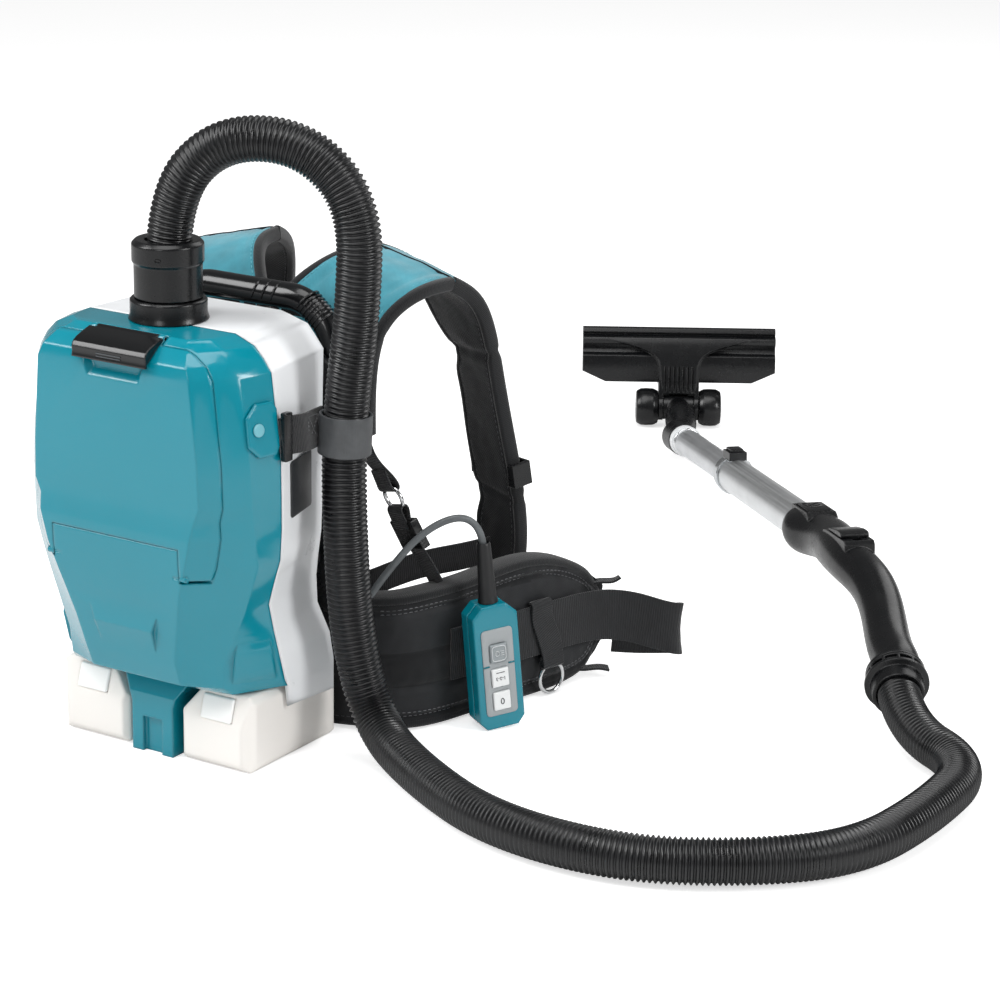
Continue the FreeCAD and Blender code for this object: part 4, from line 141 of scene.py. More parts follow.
# Lamps: name, place, aim, size and power
LAMPS = (
    ("key_lamp", (-1.7, -1.5, 2.1), (0.1, 0.0, 0.25), 1.2, 52),
    ("side_lamp", (2.4, 0.3, 1.2), (0.2, 0.3, 0.2), 0.7, 26),
    ("front_lamp", (0.5, -2.8, 1.3), (0.2, 0.2, 0.2), 0.8, 14),
    ("top_lamp", (0.2, -0.3, 2.3), (0.2, 0.2, 0.2), 1.5, 34),
    ("back_lamp", (0.6, 3.0, 2.0), (0.1, 0.4, 0.2), 1.4, 18))
CAMERA_PLACE = (1.5219, -1.9226, 0.9651)
CAMERA_TURN = (32.252, 17.2, 0.875)  # yaw, pitch and roll in degrees
CAMERA_LENS = 115.2
FLOOR_GLOW = 0.60
WORLD_LIGHT = 0.30

# The wand's own ways: along it, across it and out of its top
WAND_X = (0.68793, -0.71836, 0.10331)
WAND_Y = (0.72224, 0.69164, 0.0)
WAND_Z = (-0.07146, 0.07462, 0.99465)


def tint(red, green, blue):
    """A colour of 0 to 255 a channel, as seen on a screen, in the linear form that shaders take."""
    channels = [value / 255 for value in (red, green, blue)]
    linear = [c / 12.92 if c < 0.04045 else ((c + 0.055) / 1.055) ** 2.4 for c in channels]
    return (*linear, 1.0)


# Finishes

def add(tree, kind, inputs=None, **settings):
    """A shader node with its settings, and its inputs set, or linked where a socket is given."""
    made = tree.nodes.new("ShaderNode" + kind)
    for key, value in settings.items():
        setattr(made, key, value)
    for key, value in (inputs or {}).items():
        if isinstance(value, bpy.types.NodeSocket):
            tree.links.new(value, made.inputs[key])
        else:
            made.inputs[key].default_value = value
    return made


def finish_of(name, **fixed):
    """A new material with its shader, and the shader's plain values."""
    made = bpy.data.materials.new(name)
    made.use_nodes = True
    shader = made.node_tree.nodes["Principled BSDF"]
    for key, value in fixed.items():
        shader.inputs[key.replace("_", " ")].default_value = value
    return made, made.node_tree, shader


def ranged(tree, value, low, high, start=0.0, end=1.0):
    return add(tree, "MapRange", {0: value, 1: start, 2: end, 3: low, 4: high}).outputs[0]


def times(tree, first, second, operation="MULTIPLY"):
    return add(tree, "Math", {0: first, 1: second}, operation=operation).outputs[0]


def blend_colours(tree, share, first, second):
    return add(tree, "Mix", {0: share, 6: first, 7: second}, data_type="RGBA").outputs[2]


def plug(tree, shader, base, rough, height, distance, strength, **more):
    """Link a finish's colour, roughness and relief to its shader."""
    bump = add(tree, "Bump", {"Height": height, "Distance": distance, "Strength": strength, **more})
    for socket, value in (("Base Color", base), ("Roughness", rough), ("Normal", bump.outputs[0])):
        if value:
            tree.links.new(value, shader.inputs[socket])


def place_in(tree):
    return add(tree, "TexCoord").outputs["Object"]


def shade(colour, factor):
    return (*[min(1.0, channel * factor) for channel in colour[:3]], 1.0)


def clouded(tree, cloud, colour, darker, paler):
    """A colour that a soft noise turns a little darker and paler."""
    share = ranged(tree, cloud, 0, 1, 0.3, 0.7)
    return blend_colours(tree, share, shade(colour, darker), shade(colour, paler))


def speckle(tree, place, scale, detail=3.0, rough=0.5):
    return add(tree, "TexNoise", {"Vector": place, "Scale": scale, "Detail": detail,
                                  "Roughness": rough}).outputs["Fac"]


def moulded(name, colour, gloss, grain=0.00004, wear=0.2, clear=0.0, ease=0.0012, calm=0.04):
    """Moulded plastic: faint flow marks in the colour, a fine skin, rounded edges, rubbed paler on them."""
    made, tree, shader = finish_of(name, Coat_Weight=clear, Coat_Roughness=0.05, Specular_IOR_Level=0.45)
    place = place_in(tree)
    flow = speckle(tree, place, 7, 4)
    dust = speckle(tree, place, 55, 6, 0.65)
    base = clouded(tree, flow, colour, 1 - calm, 1 + calm)
    soft = add(tree, "Bevel", {"Radius": ease}, samples=8).outputs[0]
    if wear:
        close = add(tree, "Bevel", {"Radius": 0.0012}, samples=4).outputs[0]
        facing = add(tree, "NewGeometry").outputs["Normal"]
        turn = add(tree, "VectorMath", {0: close, 1: facing}, operation="DOT_PRODUCT").outputs["Value"]
        edge = ranged(tree, turn, 1, 0, 0.90, 0.995)
        edge = times(tree, edge, ranged(tree, dust, 0, 1, 0.35, 0.65))
        paler = shade((colour[0] + 0.04, colour[1] + 0.04, colour[2] + 0.04), 1.15)
        base = blend_colours(tree, times(tree, edge, wear), base, paler)
    rough = ranged(tree, dust, gloss * 0.9, gloss * 1.15 + 0.01, 0.3, 0.7)
    plug(tree, shader, base, rough, speckle(tree, place, 1400, 2), grain, 0.5, Normal=soft)
    if clear:
        tree.links.new(soft, shader.inputs["Coat Normal"])
    return made


def with_zone(made, colour, rough, zones):
    """Give a finish a second plastic where the place lies between two values along each given way."""
    tree = made.node_tree
    place = place_in(tree)
    inside = None
    for way, low, high in zones:
        along = add(tree, "VectorMath", {0: place, 1: way}, operation="DOT_PRODUCT").outputs["Value"]
        for value, operation in ((low, "GREATER_THAN"), (high, "LESS_THAN")):
            here = times(tree, along, value, operation)
            inside = here if inside is None else times(tree, inside, here)
    cloud = speckle(tree, place, 60, 4)
    other = add(tree, "BsdfPrincipled", {
        "Base Color": blend_colours(tree, cloud, shade(colour, 0.9), shade(colour, 1.1)), "Roughness": rough})
    out = next(item for item in tree.nodes if item.type == "OUTPUT_MATERIAL")
    first = out.inputs[0].links[0].from_socket
    pick = add(tree, "MixShader", {0: inside, 1: first, 2: other.outputs[0]})
    tree.links.new(pick.outputs[0], out.inputs[0])
    return made


def metal(name, colour, gloss, way=(1, 0, 0), grain=0.5):
    """Drawn or brushed metal, its fine lines running along one way."""
    made, tree, shader = finish_of(name, Metallic=1.0)
    place = place_in(tree)
    turned = Vector(way).to_track_quat("X", "Z").inverted().to_euler()
    lined = add(tree, "Mapping", {"Vector": place, "Rotation": turned}).outputs[0]
    lined = add(tree, "Mapping", {"Vector": lined, "Scale": (8, 900, 900)}).outputs[0]
    lines = speckle(tree, lined, 1, 3)
    stains = speckle(tree, place, 30, 5, 0.6)
    base = blend_colours(tree, ranged(tree, stains, 0, 1, 0.35, 0.7), shade(colour, 0.9), colour)
    plug(tree, shader, base, ranged(tree, lines, gloss * 0.8, gloss * 1.25, 0.3, 0.7), lines, 0.00002, grain)
    return made


def woven(name, colour, pitch, depth, sheen=0.3, rough=0.85, twill=0.0):
    """Cloth woven along its own UV map, which is in metres: threads over and under each other, with painted
    shade in the hollows between them.
    """
    made, tree, shader = finish_of(name, Sheen_Weight=sheen, Sheen_Roughness=0.45, Specular_IOR_Level=0.3)
    threads = add(tree, "UVMap").outputs[0]
    spot = add(tree, "SeparateXYZ", {0: threads})
    across, along = spot.outputs[0], spot.outputs[1]
    along = times(tree, along, times(tree, across, twill), "ADD")
    turn = math.tau / pitch

    def waves(socket):
        angle = add(tree, "Math", {0: socket, 1: turn, 2: 0.0}, operation="MULTIPLY_ADD").outputs[0]
        return add(tree, "Math", {0: angle}, operation="SINE").outputs[0]

    over = times(tree, waves(across), waves(along))
    fine = speckle(tree, threads, 2.2 / pitch, 2)
    height = add(tree, "Math", {0: over, 1: 0.5, 2: 0.5}, operation="MULTIPLY_ADD").outputs[0]
    height = times(tree, height, times(tree, fine, 0.6), "ADD")
    place = place_in(tree)
    cloud = speckle(tree, place, 26, 5, 0.6)
    base = clouded(tree, cloud, colour, 0.75, 1.25)
    # Painted shade: the colour darkens in the low places between the threads, where the weave's relief would
    # cast shade.
    base = blend_colours(tree, ranged(tree, height, 0.55, 0.0, 0.2, 1.0), base, shade(colour, 0.35))
    plug(tree, shader, base, ranged(tree, cloud, rough - 0.07, rough + 0.07), height, depth, 0.8)
    return made


def ribbed_tape(name, colour, pitch, depth):
    """Narrow woven tape: rounded ribs across it, each with fine threads along it, with painted shade in the
    grooves between the ribs.
    """
    made, tree, shader = finish_of(name, Sheen_Weight=0.35, Sheen_Roughness=0.35, Roughness=0.68,
                                   Specular_IOR_Level=0.45)
    spot = add(tree, "SeparateXYZ", {0: add(tree, "UVMap").outputs[0]})
    across, along = spot.outputs[0], spot.outputs[1]
    lean = times(tree, across, 0.12, "MULTIPLY")
    along = times(tree, along, lean, "ADD")
    rib = add(tree, "Math", {0: times(tree, along, math.pi / pitch)}, operation="SINE").outputs[0]
    rib = add(tree, "Math", {0: rib}, operation="ABSOLUTE").outputs[0]
    fine = times(tree, across, math.tau / (pitch * 0.42))
    thread = add(tree, "Math", {0: fine}, operation="SINE").outputs[0]
    height = add(tree, "Math", {0: thread, 1: 0.16, 2: rib}, operation="MULTIPLY_ADD").outputs[0]
    place = place_in(tree)
    cloud = speckle(tree, place, 60, 5, 0.6)
    base = clouded(tree, cloud, colour, 0.8, 1.25)
    # Painted shade: the colour darkens in the grooves between the ribs and threads, where the relief would
    # cast shade.
    base = blend_colours(tree, ranged(tree, height, 0.75, 0.0, 0.05, 0.75), base, shade(colour, 0.25))
    plug(tree, shader, base, None, height, depth, 0.9)
    return made


def soft_rubber(name, colour, gloss):
    """Rubber or soft plastic, with a dusty bloom in places."""
    made, tree, shader = finish_of(name, Specular_IOR_Level=0.55)
    place = place_in(tree)
    bloom = speckle(tree, place, 34, 6, 0.65)
    base = blend_colours(tree, ranged(tree, bloom, 0, 1, 0.4, 0.75), colour, shade(colour, 1.7))
    rough = ranged(tree, bloom, gloss, gloss + 0.14, 0.3, 0.7)
    plug(tree, shader, base, rough, speckle(tree, place, 1800, 2), 0.00003, 0.5)
    return made


def fleece(name, colour):
    """Pressed filter fleece: short fibres and soft clumps."""
    made, tree, shader = finish_of(name, Roughness=0.95, Sheen_Weight=0.25)
    place = place_in(tree)
    clumps = speckle(tree, place, 70, 6, 0.7)
    fibres = speckle(tree, place, 900, 3, 0.8)
    base = blend_colours(tree, clumps, shade(colour, 0.85), shade(colour, 1.08))
    plug(tree, shader, base, None, times(tree, clumps, fibres, "ADD"), 0.0004, 0.7)
    return made


def finishes():
    """Every finish by name, from the colours in the panel."""
    looks = bpy.context.scene.vacuum_colours
    teal, white, black = [tuple(colour) for colour in (looks.teal, looks.white, looks.black)]
    cloth, cloth_teal = tuple(looks.black_cloth), tuple(looks.teal_cloth)
    made = [
        moulded("teal_gloss", teal, 0.17, clear=0.4, ease=0.0030, wear=0.06),
        moulded("white_gloss", white, 0.3, clear=0.15, wear=0.0, ease=0.007, calm=0.01),
        moulded("black_satin", shade(black, 0.75), 0.26, grain=0.00005, ease=0.0016),
        moulded("black_gloss", shade(black, 0.8), 0.18, clear=0.2, ease=0.002),
        moulded("pack_grey", tint(240, 236, 231), 0.4, wear=0.0, ease=0.005, calm=0.01),
        # The battery release buttons are real keys, made paler than the pack as a painted highlight where
        # they catch the light.
        moulded("pack_key", tint(250, 250, 248), 0.34, wear=0.0, ease=0.002, calm=0.01),
        moulded("key_white", tint(240, 242, 242), 0.3, wear=0.05),
        moulded("key_grey", tint(150, 157, 160), 0.4, wear=0.1),
        moulded("keypad_grey", tint(163, 168, 170), 0.34, wear=0.05),
        metal("tube_bright", tint(244, 245, 246), 0.16, WAND_X),
        moulded("legend", tint(70, 74, 78), 0.5, wear=0.0),
        moulded("legend_pale", tint(232, 235, 236), 0.5, wear=0.0),
        moulded("plate_dark", tint(44, 46, 48), 0.36, wear=0.1),
        moulded("motor_grey", tint(120, 124, 126), 0.5),
        moulded("board_green", tint(28, 92, 62), 0.35),
        soft_rubber("hose_black", shade(black, 0.8), 0.24),
        soft_rubber("rubber_black", shade(black, 0.9), 0.42),
        soft_rubber("cable_grey", tint(84, 88, 90), 0.4),
        metal("tube_metal", tint(238, 240, 241), 0.40, WAND_X),
        with_zone(metal("tube_banded", tint(236, 238, 240), 0.40, WAND_X), tint(236, 238, 239), 0.25,
                  [(WAND_X, -0.6999, -0.6902)]),
        with_zone(metal("tube_ring", tint(214, 217, 219), 0.16, WAND_X), black, 0.3,
                  [(WAND_X, -0.5120, -0.4700), (WAND_Y, 0.5989, 0.6176), (WAND_Z, 0.1173, 0.2)]),
        metal("chrome", tint(226, 227, 228), 0.09, grain=0.1),
        metal("steel", tint(176, 178, 180), 0.34, (0, 0, 1)),
        metal("iron", tint(92, 92, 94), 0.55, (0, 0, 1)),
        metal("brass", tint(214, 178, 104), 0.3),
        woven("cloth_black", cloth, 0.0011, 0.00012),
        woven("cloth_puffed", shade(cloth, 1.6), 0.0009, 0.00008, sheen=0.15, rough=0.62),
        woven("cloth_teal", cloth_teal, 0.0013, 0.00014, sheen=0.4),
        woven("mesh_black", shade(cloth, 1.1), 0.0024, 0.0004, sheen=0.2),
        woven("tape_black", shade(cloth, 1.1), 0.0016, 0.00025, sheen=0.3, twill=1.0),
        ribbed_tape("webbing_black", shade(cloth, 1.3), 0.0021, 0.00035),
        soft_rubber("thread_grey", tint(96, 97, 99), 0.6),
        soft_rubber("thread_dark", tint(58, 59, 61), 0.6),
        soft_rubber("keeper_rubber", tint(62, 64, 66), 0.36),
        moulded("rivet_teal", tint(110, 176, 188), 0.3),
        soft_rubber("thread_teal", tint(96, 168, 180), 0.6),
        fleece("fleece_white", tint(225, 223, 214)),
        fleece("card", tint(198, 178, 140)),
    ]
    return {item.name.split(".")[0]: item for item in made}


FINISH = {}

# The finish of each CAD node that shows, with the width of its eased edges and its slot
NODE_FINISH = {
    "teal_gloss": ("teal_shell", {"front_housing": 0.0022, "centre_leg": 0.0014, "lid": 0.0018,
                                  "strap_bracket": 0.0007, "remote_back": 0.0022, "remote_front": 0.0022}),
    "white_gloss": ("white_shell", {"rear_housing": 0.0025}),
    "black_satin": ("black_shell", {
        "back_frame": 0.0012, "bent_handle": 0.0008, "inlet_collar": 0.0008, "hose_cuff": 0.0009,
        "strap_buckles": 0.0006, "wand_release_button": 0.0009,
        "relief_slider": 0.0008, "tube_lock": 0.0008, "nozzle_elbow": 0.0010, "nozzle_head": 0.0010,
        "handle_cuff": 0.0006, "left_roller": 0.0012, "right_roller": 0.0012}),
    "black_gloss": ("black_shell", {"carry_handle": 0.0004, "lid_latch": 0.0010}),
    "tube_ring": ("black_shell", {"tube_collar": 0.0006}),
    "tube_banded": ("tube_metal", {"inner_tube": 0.0003}),
    "pack_grey": ("pack_shell", {"left_battery": 0.0030, "right_battery": 0.0030}),
    "pack_key": ("pack_button", {"left_battery_button": 0.0012, "right_battery_button": 0.0012}),
    "key_white": ("key_white", {"speed_button": 0.0010, "stop_button": 0.0010}),
    "key_grey": ("key_white", {"light_button": 0.0010}),
    "motor_grey": ("motor_plastic", {"motor_housing": 0.0008, "fan_impeller": 0.0002}),
    "board_green": ("board", {"control_board": 0.0003}),
    "rubber_black": ("soft_rubber", {"lid_seal": 0.0006, "cable_boot": 0.0004}),
    "tube_metal": ("tube_metal", {"outer_tube": 0.0003}),
    "chrome": ("bright_metal", {"hanging_ring": 0.0, "stabilizer_rings": 0.0}),
    "steel": ("plain_steel", {"housing_screws": 0.0004, "motor_bearings": 0.0003, "motor_shaft": 0.0003,
                              "roller_axle": 0.0003}),
    "iron": ("stator_iron", {"motor_stator": 0.0004}),
    "brass": ("contacts", {"battery_terminals": 0.0002}),
    "fleece_white": ("bag_fleece", {"filter_cartridge": 0.0003}),
}


# Shells made of flat facets, with the smallest turn in degrees that shows as an edge
FACETED = {"front_housing": 8, "lid": 8, "centre_leg": 8, "left_battery": 12, "right_battery": 12}


# Making and placing pieces

def only(item):
    """Select one object alone and make it active."""
    bpy.ops.object.select_all(action="DESELECT")
    item.select_set(True)
    bpy.context.view_layer.objects.active = item


def dress(item, finish, body, slot, *nodes):
    """Give a finished piece its material and body, and hide the CAD nodes that it stands for; the slot is not
    used.
    """
    for name in finish if isinstance(finish, list) else [finish]:
        item.data.materials.append(FINISH[name])
    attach(item, body)
    if nodes:
        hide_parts(*nodes)
    return item


def settle(item, angle=30):
    """Apply an object's place and modifiers, and smooth what turns less than an angle."""
    only(item)
    bpy.ops.object.transform_apply(location=True, rotation=True, scale=True)
    for modifier in [m.name for m in item.modifiers]:
        bpy.ops.object.modifier_apply(modifier=modifier)
    bpy.ops.object.shade_smooth_by_angle(angle=math.radians(angle))
    return item


def webbed(item, angle, *nodes, finish="webbing_black"):
    """Smooth a tape, a binding or a sleeve, and dress it in its finish on the unit's body."""
    return dress(settle(item, angle), finish, "unit", "webbing", *nodes)


def new_mesh(name, points, faces, maps=None):
    """An object of plain points and faces, with a UV map in metres where one is given."""
    mesh = bpy.data.meshes.new(name)
    mesh.from_pydata([tuple(point) for point in points], [], faces)
    if maps is not None:
        layer = mesh.uv_layers.new(name="UVMap")
        layer.data.foreach_set("uv", np.array(maps, float).ravel())
    mesh.validate()
    item = bpy.data.objects.new(name, mesh)
    bpy.context.scene.collection.objects.link(item)
    return item


def outward(item, merge=1e-6):
    """Merge doubled points and turn all faces outwards."""
    only(item)
    bpy.ops.object.mode_set(mode="EDIT")
    bpy.ops.mesh.select_all(action="SELECT")
    bpy.ops.mesh.remove_doubles(threshold=merge)
    bpy.ops.mesh.normals_make_consistent(inside=False)
    bpy.ops.object.mode_set(mode="OBJECT")
    return item


def joined(name, items):
    """Several objects as one, by its name."""
    bpy.ops.object.select_all(action="DESELECT")
    for item in items:
        item.select_set(True)
    bpy.context.view_layer.objects.active = items[0]
    if len(items) > 1:
        bpy.ops.object.join()
    items[0].name = name
    items[0].data.name = name
    return items[0]


def bevelled(item, width, segments=3, angle=30):
    bevel = item.modifiers.new("Bevel", "BEVEL")
    bevel.width = width
    bevel.segments = segments
    bevel.limit_method = "ANGLE"
    bevel.angle_limit = math.radians(angle)
    return item


def through(values, count):
    """Rows of numbers on a smooth line through the given rows, evenly spread by the rows' first three."""
    values = np.array(values, float)
    runs = np.linalg.norm(np.diff(values[:, :3], axis=0), axis=1)
    knots = np.concatenate([[0], np.cumsum(np.maximum(runs, 1e-6))])
    amount = len(values)
    if amount == 2:
        shares = np.linspace(0, 1, count)[:, None]
        return values[0] * (1 - shares) + values[1] * shares
    gaps = np.diff(knots)
    system = np.zeros((amount, amount))
    right = np.zeros(values.shape)
    system[0, 0] = system[-1, -1] = 1
    for i in range(1, amount - 1):
        system[i, i - 1:i + 2] = gaps[i - 1], 2 * (gaps[i - 1] + gaps[i]), gaps[i]
        right[i] = 6 * ((values[i + 1] - values[i]) / gaps[i] - (values[i] - values[i - 1]) / gaps[i - 1])
    bends = np.linalg.solve(system, right)
    spots = np.linspace(0, knots[-1], count)
    made = []
    for spot in spots:
        i = min(int(np.searchsorted(knots, spot, "right")) - 1, amount - 2)
        gap = gaps[i]
        a = (knots[i + 1] - spot) / gap
        b = 1 - a
        made.append(a * values[i] + b * values[i + 1]
                    + ((a ** 3 - a) * bends[i] + (b ** 3 - b) * bends[i + 1]) * gap ** 2 / 6)
    return np.array(made)


def runs_of(points):
    """The length of the line of points up to each of them."""
    return np.concatenate([[0], np.cumsum(np.linalg.norm(np.diff(points, axis=0), axis=1))])


def read_at(marks, runs, rows):
    """Rows of numbers read between the given ones, at marks along their runs."""
    return np.stack([np.interp(marks, runs, column) for column in rows.T], axis=-1)


def ways_of(line):
    """The way on at each point of a line."""
    ways = np.gradient(line, axis=0)
    return ways / np.linalg.norm(ways, axis=1)[:, None]


def squared(rows, ways):
    """Each way turned square to its partner, one unit long."""
    rows = rows - ways * np.sum(rows * ways, axis=1)[:, None]
    return rows / np.linalg.norm(rows, axis=1)[:, None]


def even(points, count):
    """Points spread evenly by length along a line of points."""
    runs = runs_of(points)
    return read_at(np.linspace(0, runs[-1], count), runs, points)


def nurbs_curve(name, route, resolution):
    """A curve object of one NURBS spline, which has the route's points as its control points."""
    curve = bpy.data.curves.new(name, "CURVE")
    curve.dimensions = "3D"
    curve.resolution_u = resolution
    spline = curve.splines.new("NURBS")
    spline.points.add(len(route) - 1)
    for point, place in zip(spline.points, route):
        point.co = (*place, 1)
    spline.order_u = 3
    spline.use_endpoint_u = True
    holder = bpy.data.objects.new(name, curve)
    bpy.context.scene.collection.objects.link(holder)
    return holder


def nurbs_line(name, route):
    """The points of a route's NURBS spline."""
    holder = nurbs_curve(name, route, 48)
    line = bpy.data.meshes.new_from_object(holder)
    points = np.array([tuple(vertex.co) for vertex in line.vertices])
    bpy.data.objects.remove(holder)
    bpy.data.meshes.remove(line)
    return points


def tube(name, points, around, runs, steps=None, cap=None):
    """A closed tube of rows of points, with a UV map in metres where its steps round it are given."""
    faces, maps = [], []
    last = len(points) - around
    for i in range(0, last, around):
        for j in range(around):
            k = (j + 1) % around
            faces.append((i + j, i + k, i + around + k, i + around + j))
            if steps:
                (low, high), here, on = steps[j], runs[i // around], runs[i // around + 1]
                maps += [(low, here), (high, here), (high, on), (low, on)]
    for start, order in ((0, -1), (last, 1)):
        faces.append([start + j for j in range(around)][::order])
        maps += (cap or [])[::order]
    return new_mesh(name, points, faces, maps or None)


def round_steps(around, girth):
    return [(j / around * girth, (j + 1) / around * girth) for j in range(around)]


def carried_frames(points, first_side):
    """At each point of a line: two ways square to it that don't twist."""
    ways = ways_of(points)
    side = np.array(first_side, float)
    sides = []
    for way in ways:
        side = side - way * (side @ way)
        side = side / np.linalg.norm(side)
        sides.append(side)
    sides = np.array(sides)
    return sides, np.cross(ways, sides)


def swept(name, points, radii, around=24, first_side=(0, 1, 0)):
    """A closed tube along points with a radius at each, its UV map in metres."""
    points = np.array(points, float)
    sides, others = carried_frames(points, first_side)
    turns = np.linspace(0, math.tau, around, endpoint=False)[None, :, None]
    ring = np.cos(turns) * sides[:, None, :] + np.sin(turns) * others[:, None, :]
    places = (points[:, None, :] + ring * np.array(radii)[:, None, None]).reshape(-1, 3)
    steps = round_steps(around, math.tau * float(np.mean(radii)))
    cap = [(0.001 * math.cos(turn), 0.001 * math.sin(turn)) for turn in turns.ravel()]
    return tube(name, places, around, runs_of(points), steps, cap)


# Padded pieces: a surface over the line of stations, thick in the middle and closed at its edges

class Padding:
    """A padded band. A place on it is a share t along it, from 0 to 1, and u across it, from -1 to 1."""

    def __init__(self, stations, rows=90, mirror=False):
        flat = []
        for centre, across, inward, width, thick in stations:
            flat.append([*centre, *Vector(across).normalized(), *Vector(inward).normalized(), width, thick])
        made = through(flat, rows)
        self.centre = made[:, :3]
        self.across = made[:, 3:6] / np.linalg.norm(made[:, 3:6], axis=1)[:, None]
        self.inward = squared(made[:, 6:9], self.across)
        self.half_width = made[:, 9] / 2
        self.half_thick = made[:, 10] / 2
        if mirror:
            for part in (self.centre, self.across, self.inward):
                part[:, 0] *= -1
        self.length = float(runs_of(self.centre)[-1])
        self.rim = 0.008
        self.low_rim = 0.15
        self.round_start = self.round_end = False
        self.seams = []
        self.puff = 0.0006
        self.corner = 0.02

    def at(self, t, part):
        spot = t * (len(self.centre) - 1)
        low = np.clip(np.floor(spot).astype(int), 0, len(self.centre) - 2)
        share = spot - low
        values = getattr(self, part)
        if values.ndim == 2:
            share = share[..., None]
        return values[low] * (1 - share) + values[low + 1] * share

    def edge_gap(self, t, u):
        """The distance to the nearest edge that is sewn shut, with corners rounded off."""
        half = self.at(t, "half_width")
        gap = (1 - np.abs(u)) * half
        for wanted, share in ((self.round_start, t), (self.round_end, 1 - t)):
            if wanted:
                other = share * self.length
                both = np.hypot(np.maximum(self.corner - gap, 0), np.maximum(self.corner - other, 0))
                cornered = (gap < self.corner) & (other < self.corner)
                gap = np.where(cornered, self.corner - both, np.minimum(gap, other))
        return gap

    def thickness(self, t, u):
        gap = np.maximum(self.edge_gap(t, u), 0)
        share = np.minimum(gap / self.rim, 1)
        rise = np.sqrt(np.maximum(1 - (1 - share) ** 2, 0))
        made = self.at(t, "half_thick") * (self.low_rim + (1 - self.low_rim) * rise)
        middle = np.minimum(gap / np.maximum(self.at(t, "half_width"), 1e-6), 1)
        made = made * (0.9 + 0.1 * middle)
        for seam in self.seams:
            made = made * (1 - seam[1] * np.exp(-(seam[0](self, t, u) / seam[2]) ** 2))
        return made

    def spot(self, t, u, face, lift=0.0):
        """Points on a face: 1 is the face that `inward` points to, and -1 the other one."""
        t, u = np.broadcast_arrays(np.asarray(t, float), np.asarray(u, float))
        thick = self.thickness(t, u) + lift
        base = self.at(t, "centre") + self.at(t, "across") * (u * self.at(t, "half_width"))[..., None]
        return base + self.at(t, "inward") * (thick * face)[..., None]

    def mesh(self, name, rows, columns):
        """The padded band as one closed mesh, creased and wrinkled a little."""
        t = np.linspace(0, 1, rows)
        if self.round_start or self.round_end:
            t = (1 - np.cos(t * math.pi)) / 2 * 0.35 + t * 0.65
        u = np.sin(np.linspace(-1, 1, columns) * math.pi / 2) * 0.75 + np.linspace(-1, 1, columns) * 0.25
        grid_t, grid_u = np.meshgrid(t, u, indexing="ij")
        pieces = []
        for face in (1, -1):
            spots = self.spot(grid_t, grid_u, face)
            gap = np.minimum(self.edge_gap(grid_t, grid_u) / 0.006, 1)
            ways = self.at(grid_t, "inward") * face
            for i in range(rows):
                for j in range(columns):
                    place = Vector(spots[i, j])
                    wave = noise.noise(place * 38) + 0.6 * noise.noise(place * 90 + Vector((7, 3, 1)))
                    spots[i, j] += ways[i, j] * (self.puff * gap[i, j] * wave)
            pieces.append(spots.reshape(-1, 3))
        points = np.concatenate(pieces)
        size = rows * columns
        faces, maps = [], []
        lengths = t * self.length
        for face in range(2):
            for i in range(rows - 1):
                for j in range(columns - 1):
                    first = i * columns + j
                    loop = [first, first + columns, first + columns + 1, first + 1]
                    if face:
                        loop = loop[::-1]
                    faces.append([size * face + index for index in loop])
                    for index in loop:
                        a, b = divmod(index, columns)
                        maps.append((u[b] * self.half_width.mean(), lengths[a]))
        border = [(i * columns, (i + 1) * columns) for i in range(rows - 1)]
        border += [((i + 1) * columns - 1 + columns, (i + 1) * columns - 1) for i in range(rows - 1)]
        border += [(j + 1, j) for j in range(columns - 1)]
        border += [((rows - 1) * columns + j, (rows - 1) * columns + j + 1) for j in range(columns - 1)]
        for first, second in border:
            faces.append([second, first, first + size, second + size])
            maps += [(0, 0), (0.001, 0), (0.001, 0.001), (0, 0.001)]
        return outward(new_mesh(name, points, faces, maps), 1e-5)

    def edge_line(self, count, inset=0.0, start=0.0, end=1.0, side=None):
        """Places (t, u) along the edges: up one side, round the rounded ends, and down the other."""
        ends = self.round_end

        def limits(t):
            here = float(self.at(np.array(t), "half_width"))
            far = self.corner
            left = (1 - t) * self.length - inset if ends else 1
            first = t * self.length - inset if self.round_start else 1
            near = here - inset
            for gap in (left, first):
                if gap < far - inset:
                    reach = far - inset
                    near = min(near, here - far + math.sqrt(max(reach ** 2 - (reach - max(gap, 0)) ** 2, 0)))
            return near / here

        low = max(start, inset / self.length) if self.round_start else start
        high = min(end, 1 - inset / self.length) if ends else end
        lengthwise = np.linspace(low, high, count)
        if ends or self.round_start:
            lengthwise = low + (high - low) * (0.4 * (1 - np.cos(np.linspace(0, math.pi, count))) / 2
                                               + 0.6 * np.linspace(0, 1, count))
        if side:
            return [(t, side * limits(t)) for t in lengthwise]
        up = [(t, limits(t)) for t in lengthwise]
        down = [(t, -limits(t)) for t in lengthwise[::-1]]
        tip = [(high, u) for u in np.linspace(up[-1][1], down[0][1], 14)[1:-1]] if ends else []
        return up + tip + down


def line_on(pad, places, face, lift=0.0):
    spots = np.array(places, float)
    return pad.spot(spots[:, 0], spots[:, 1], face, lift)


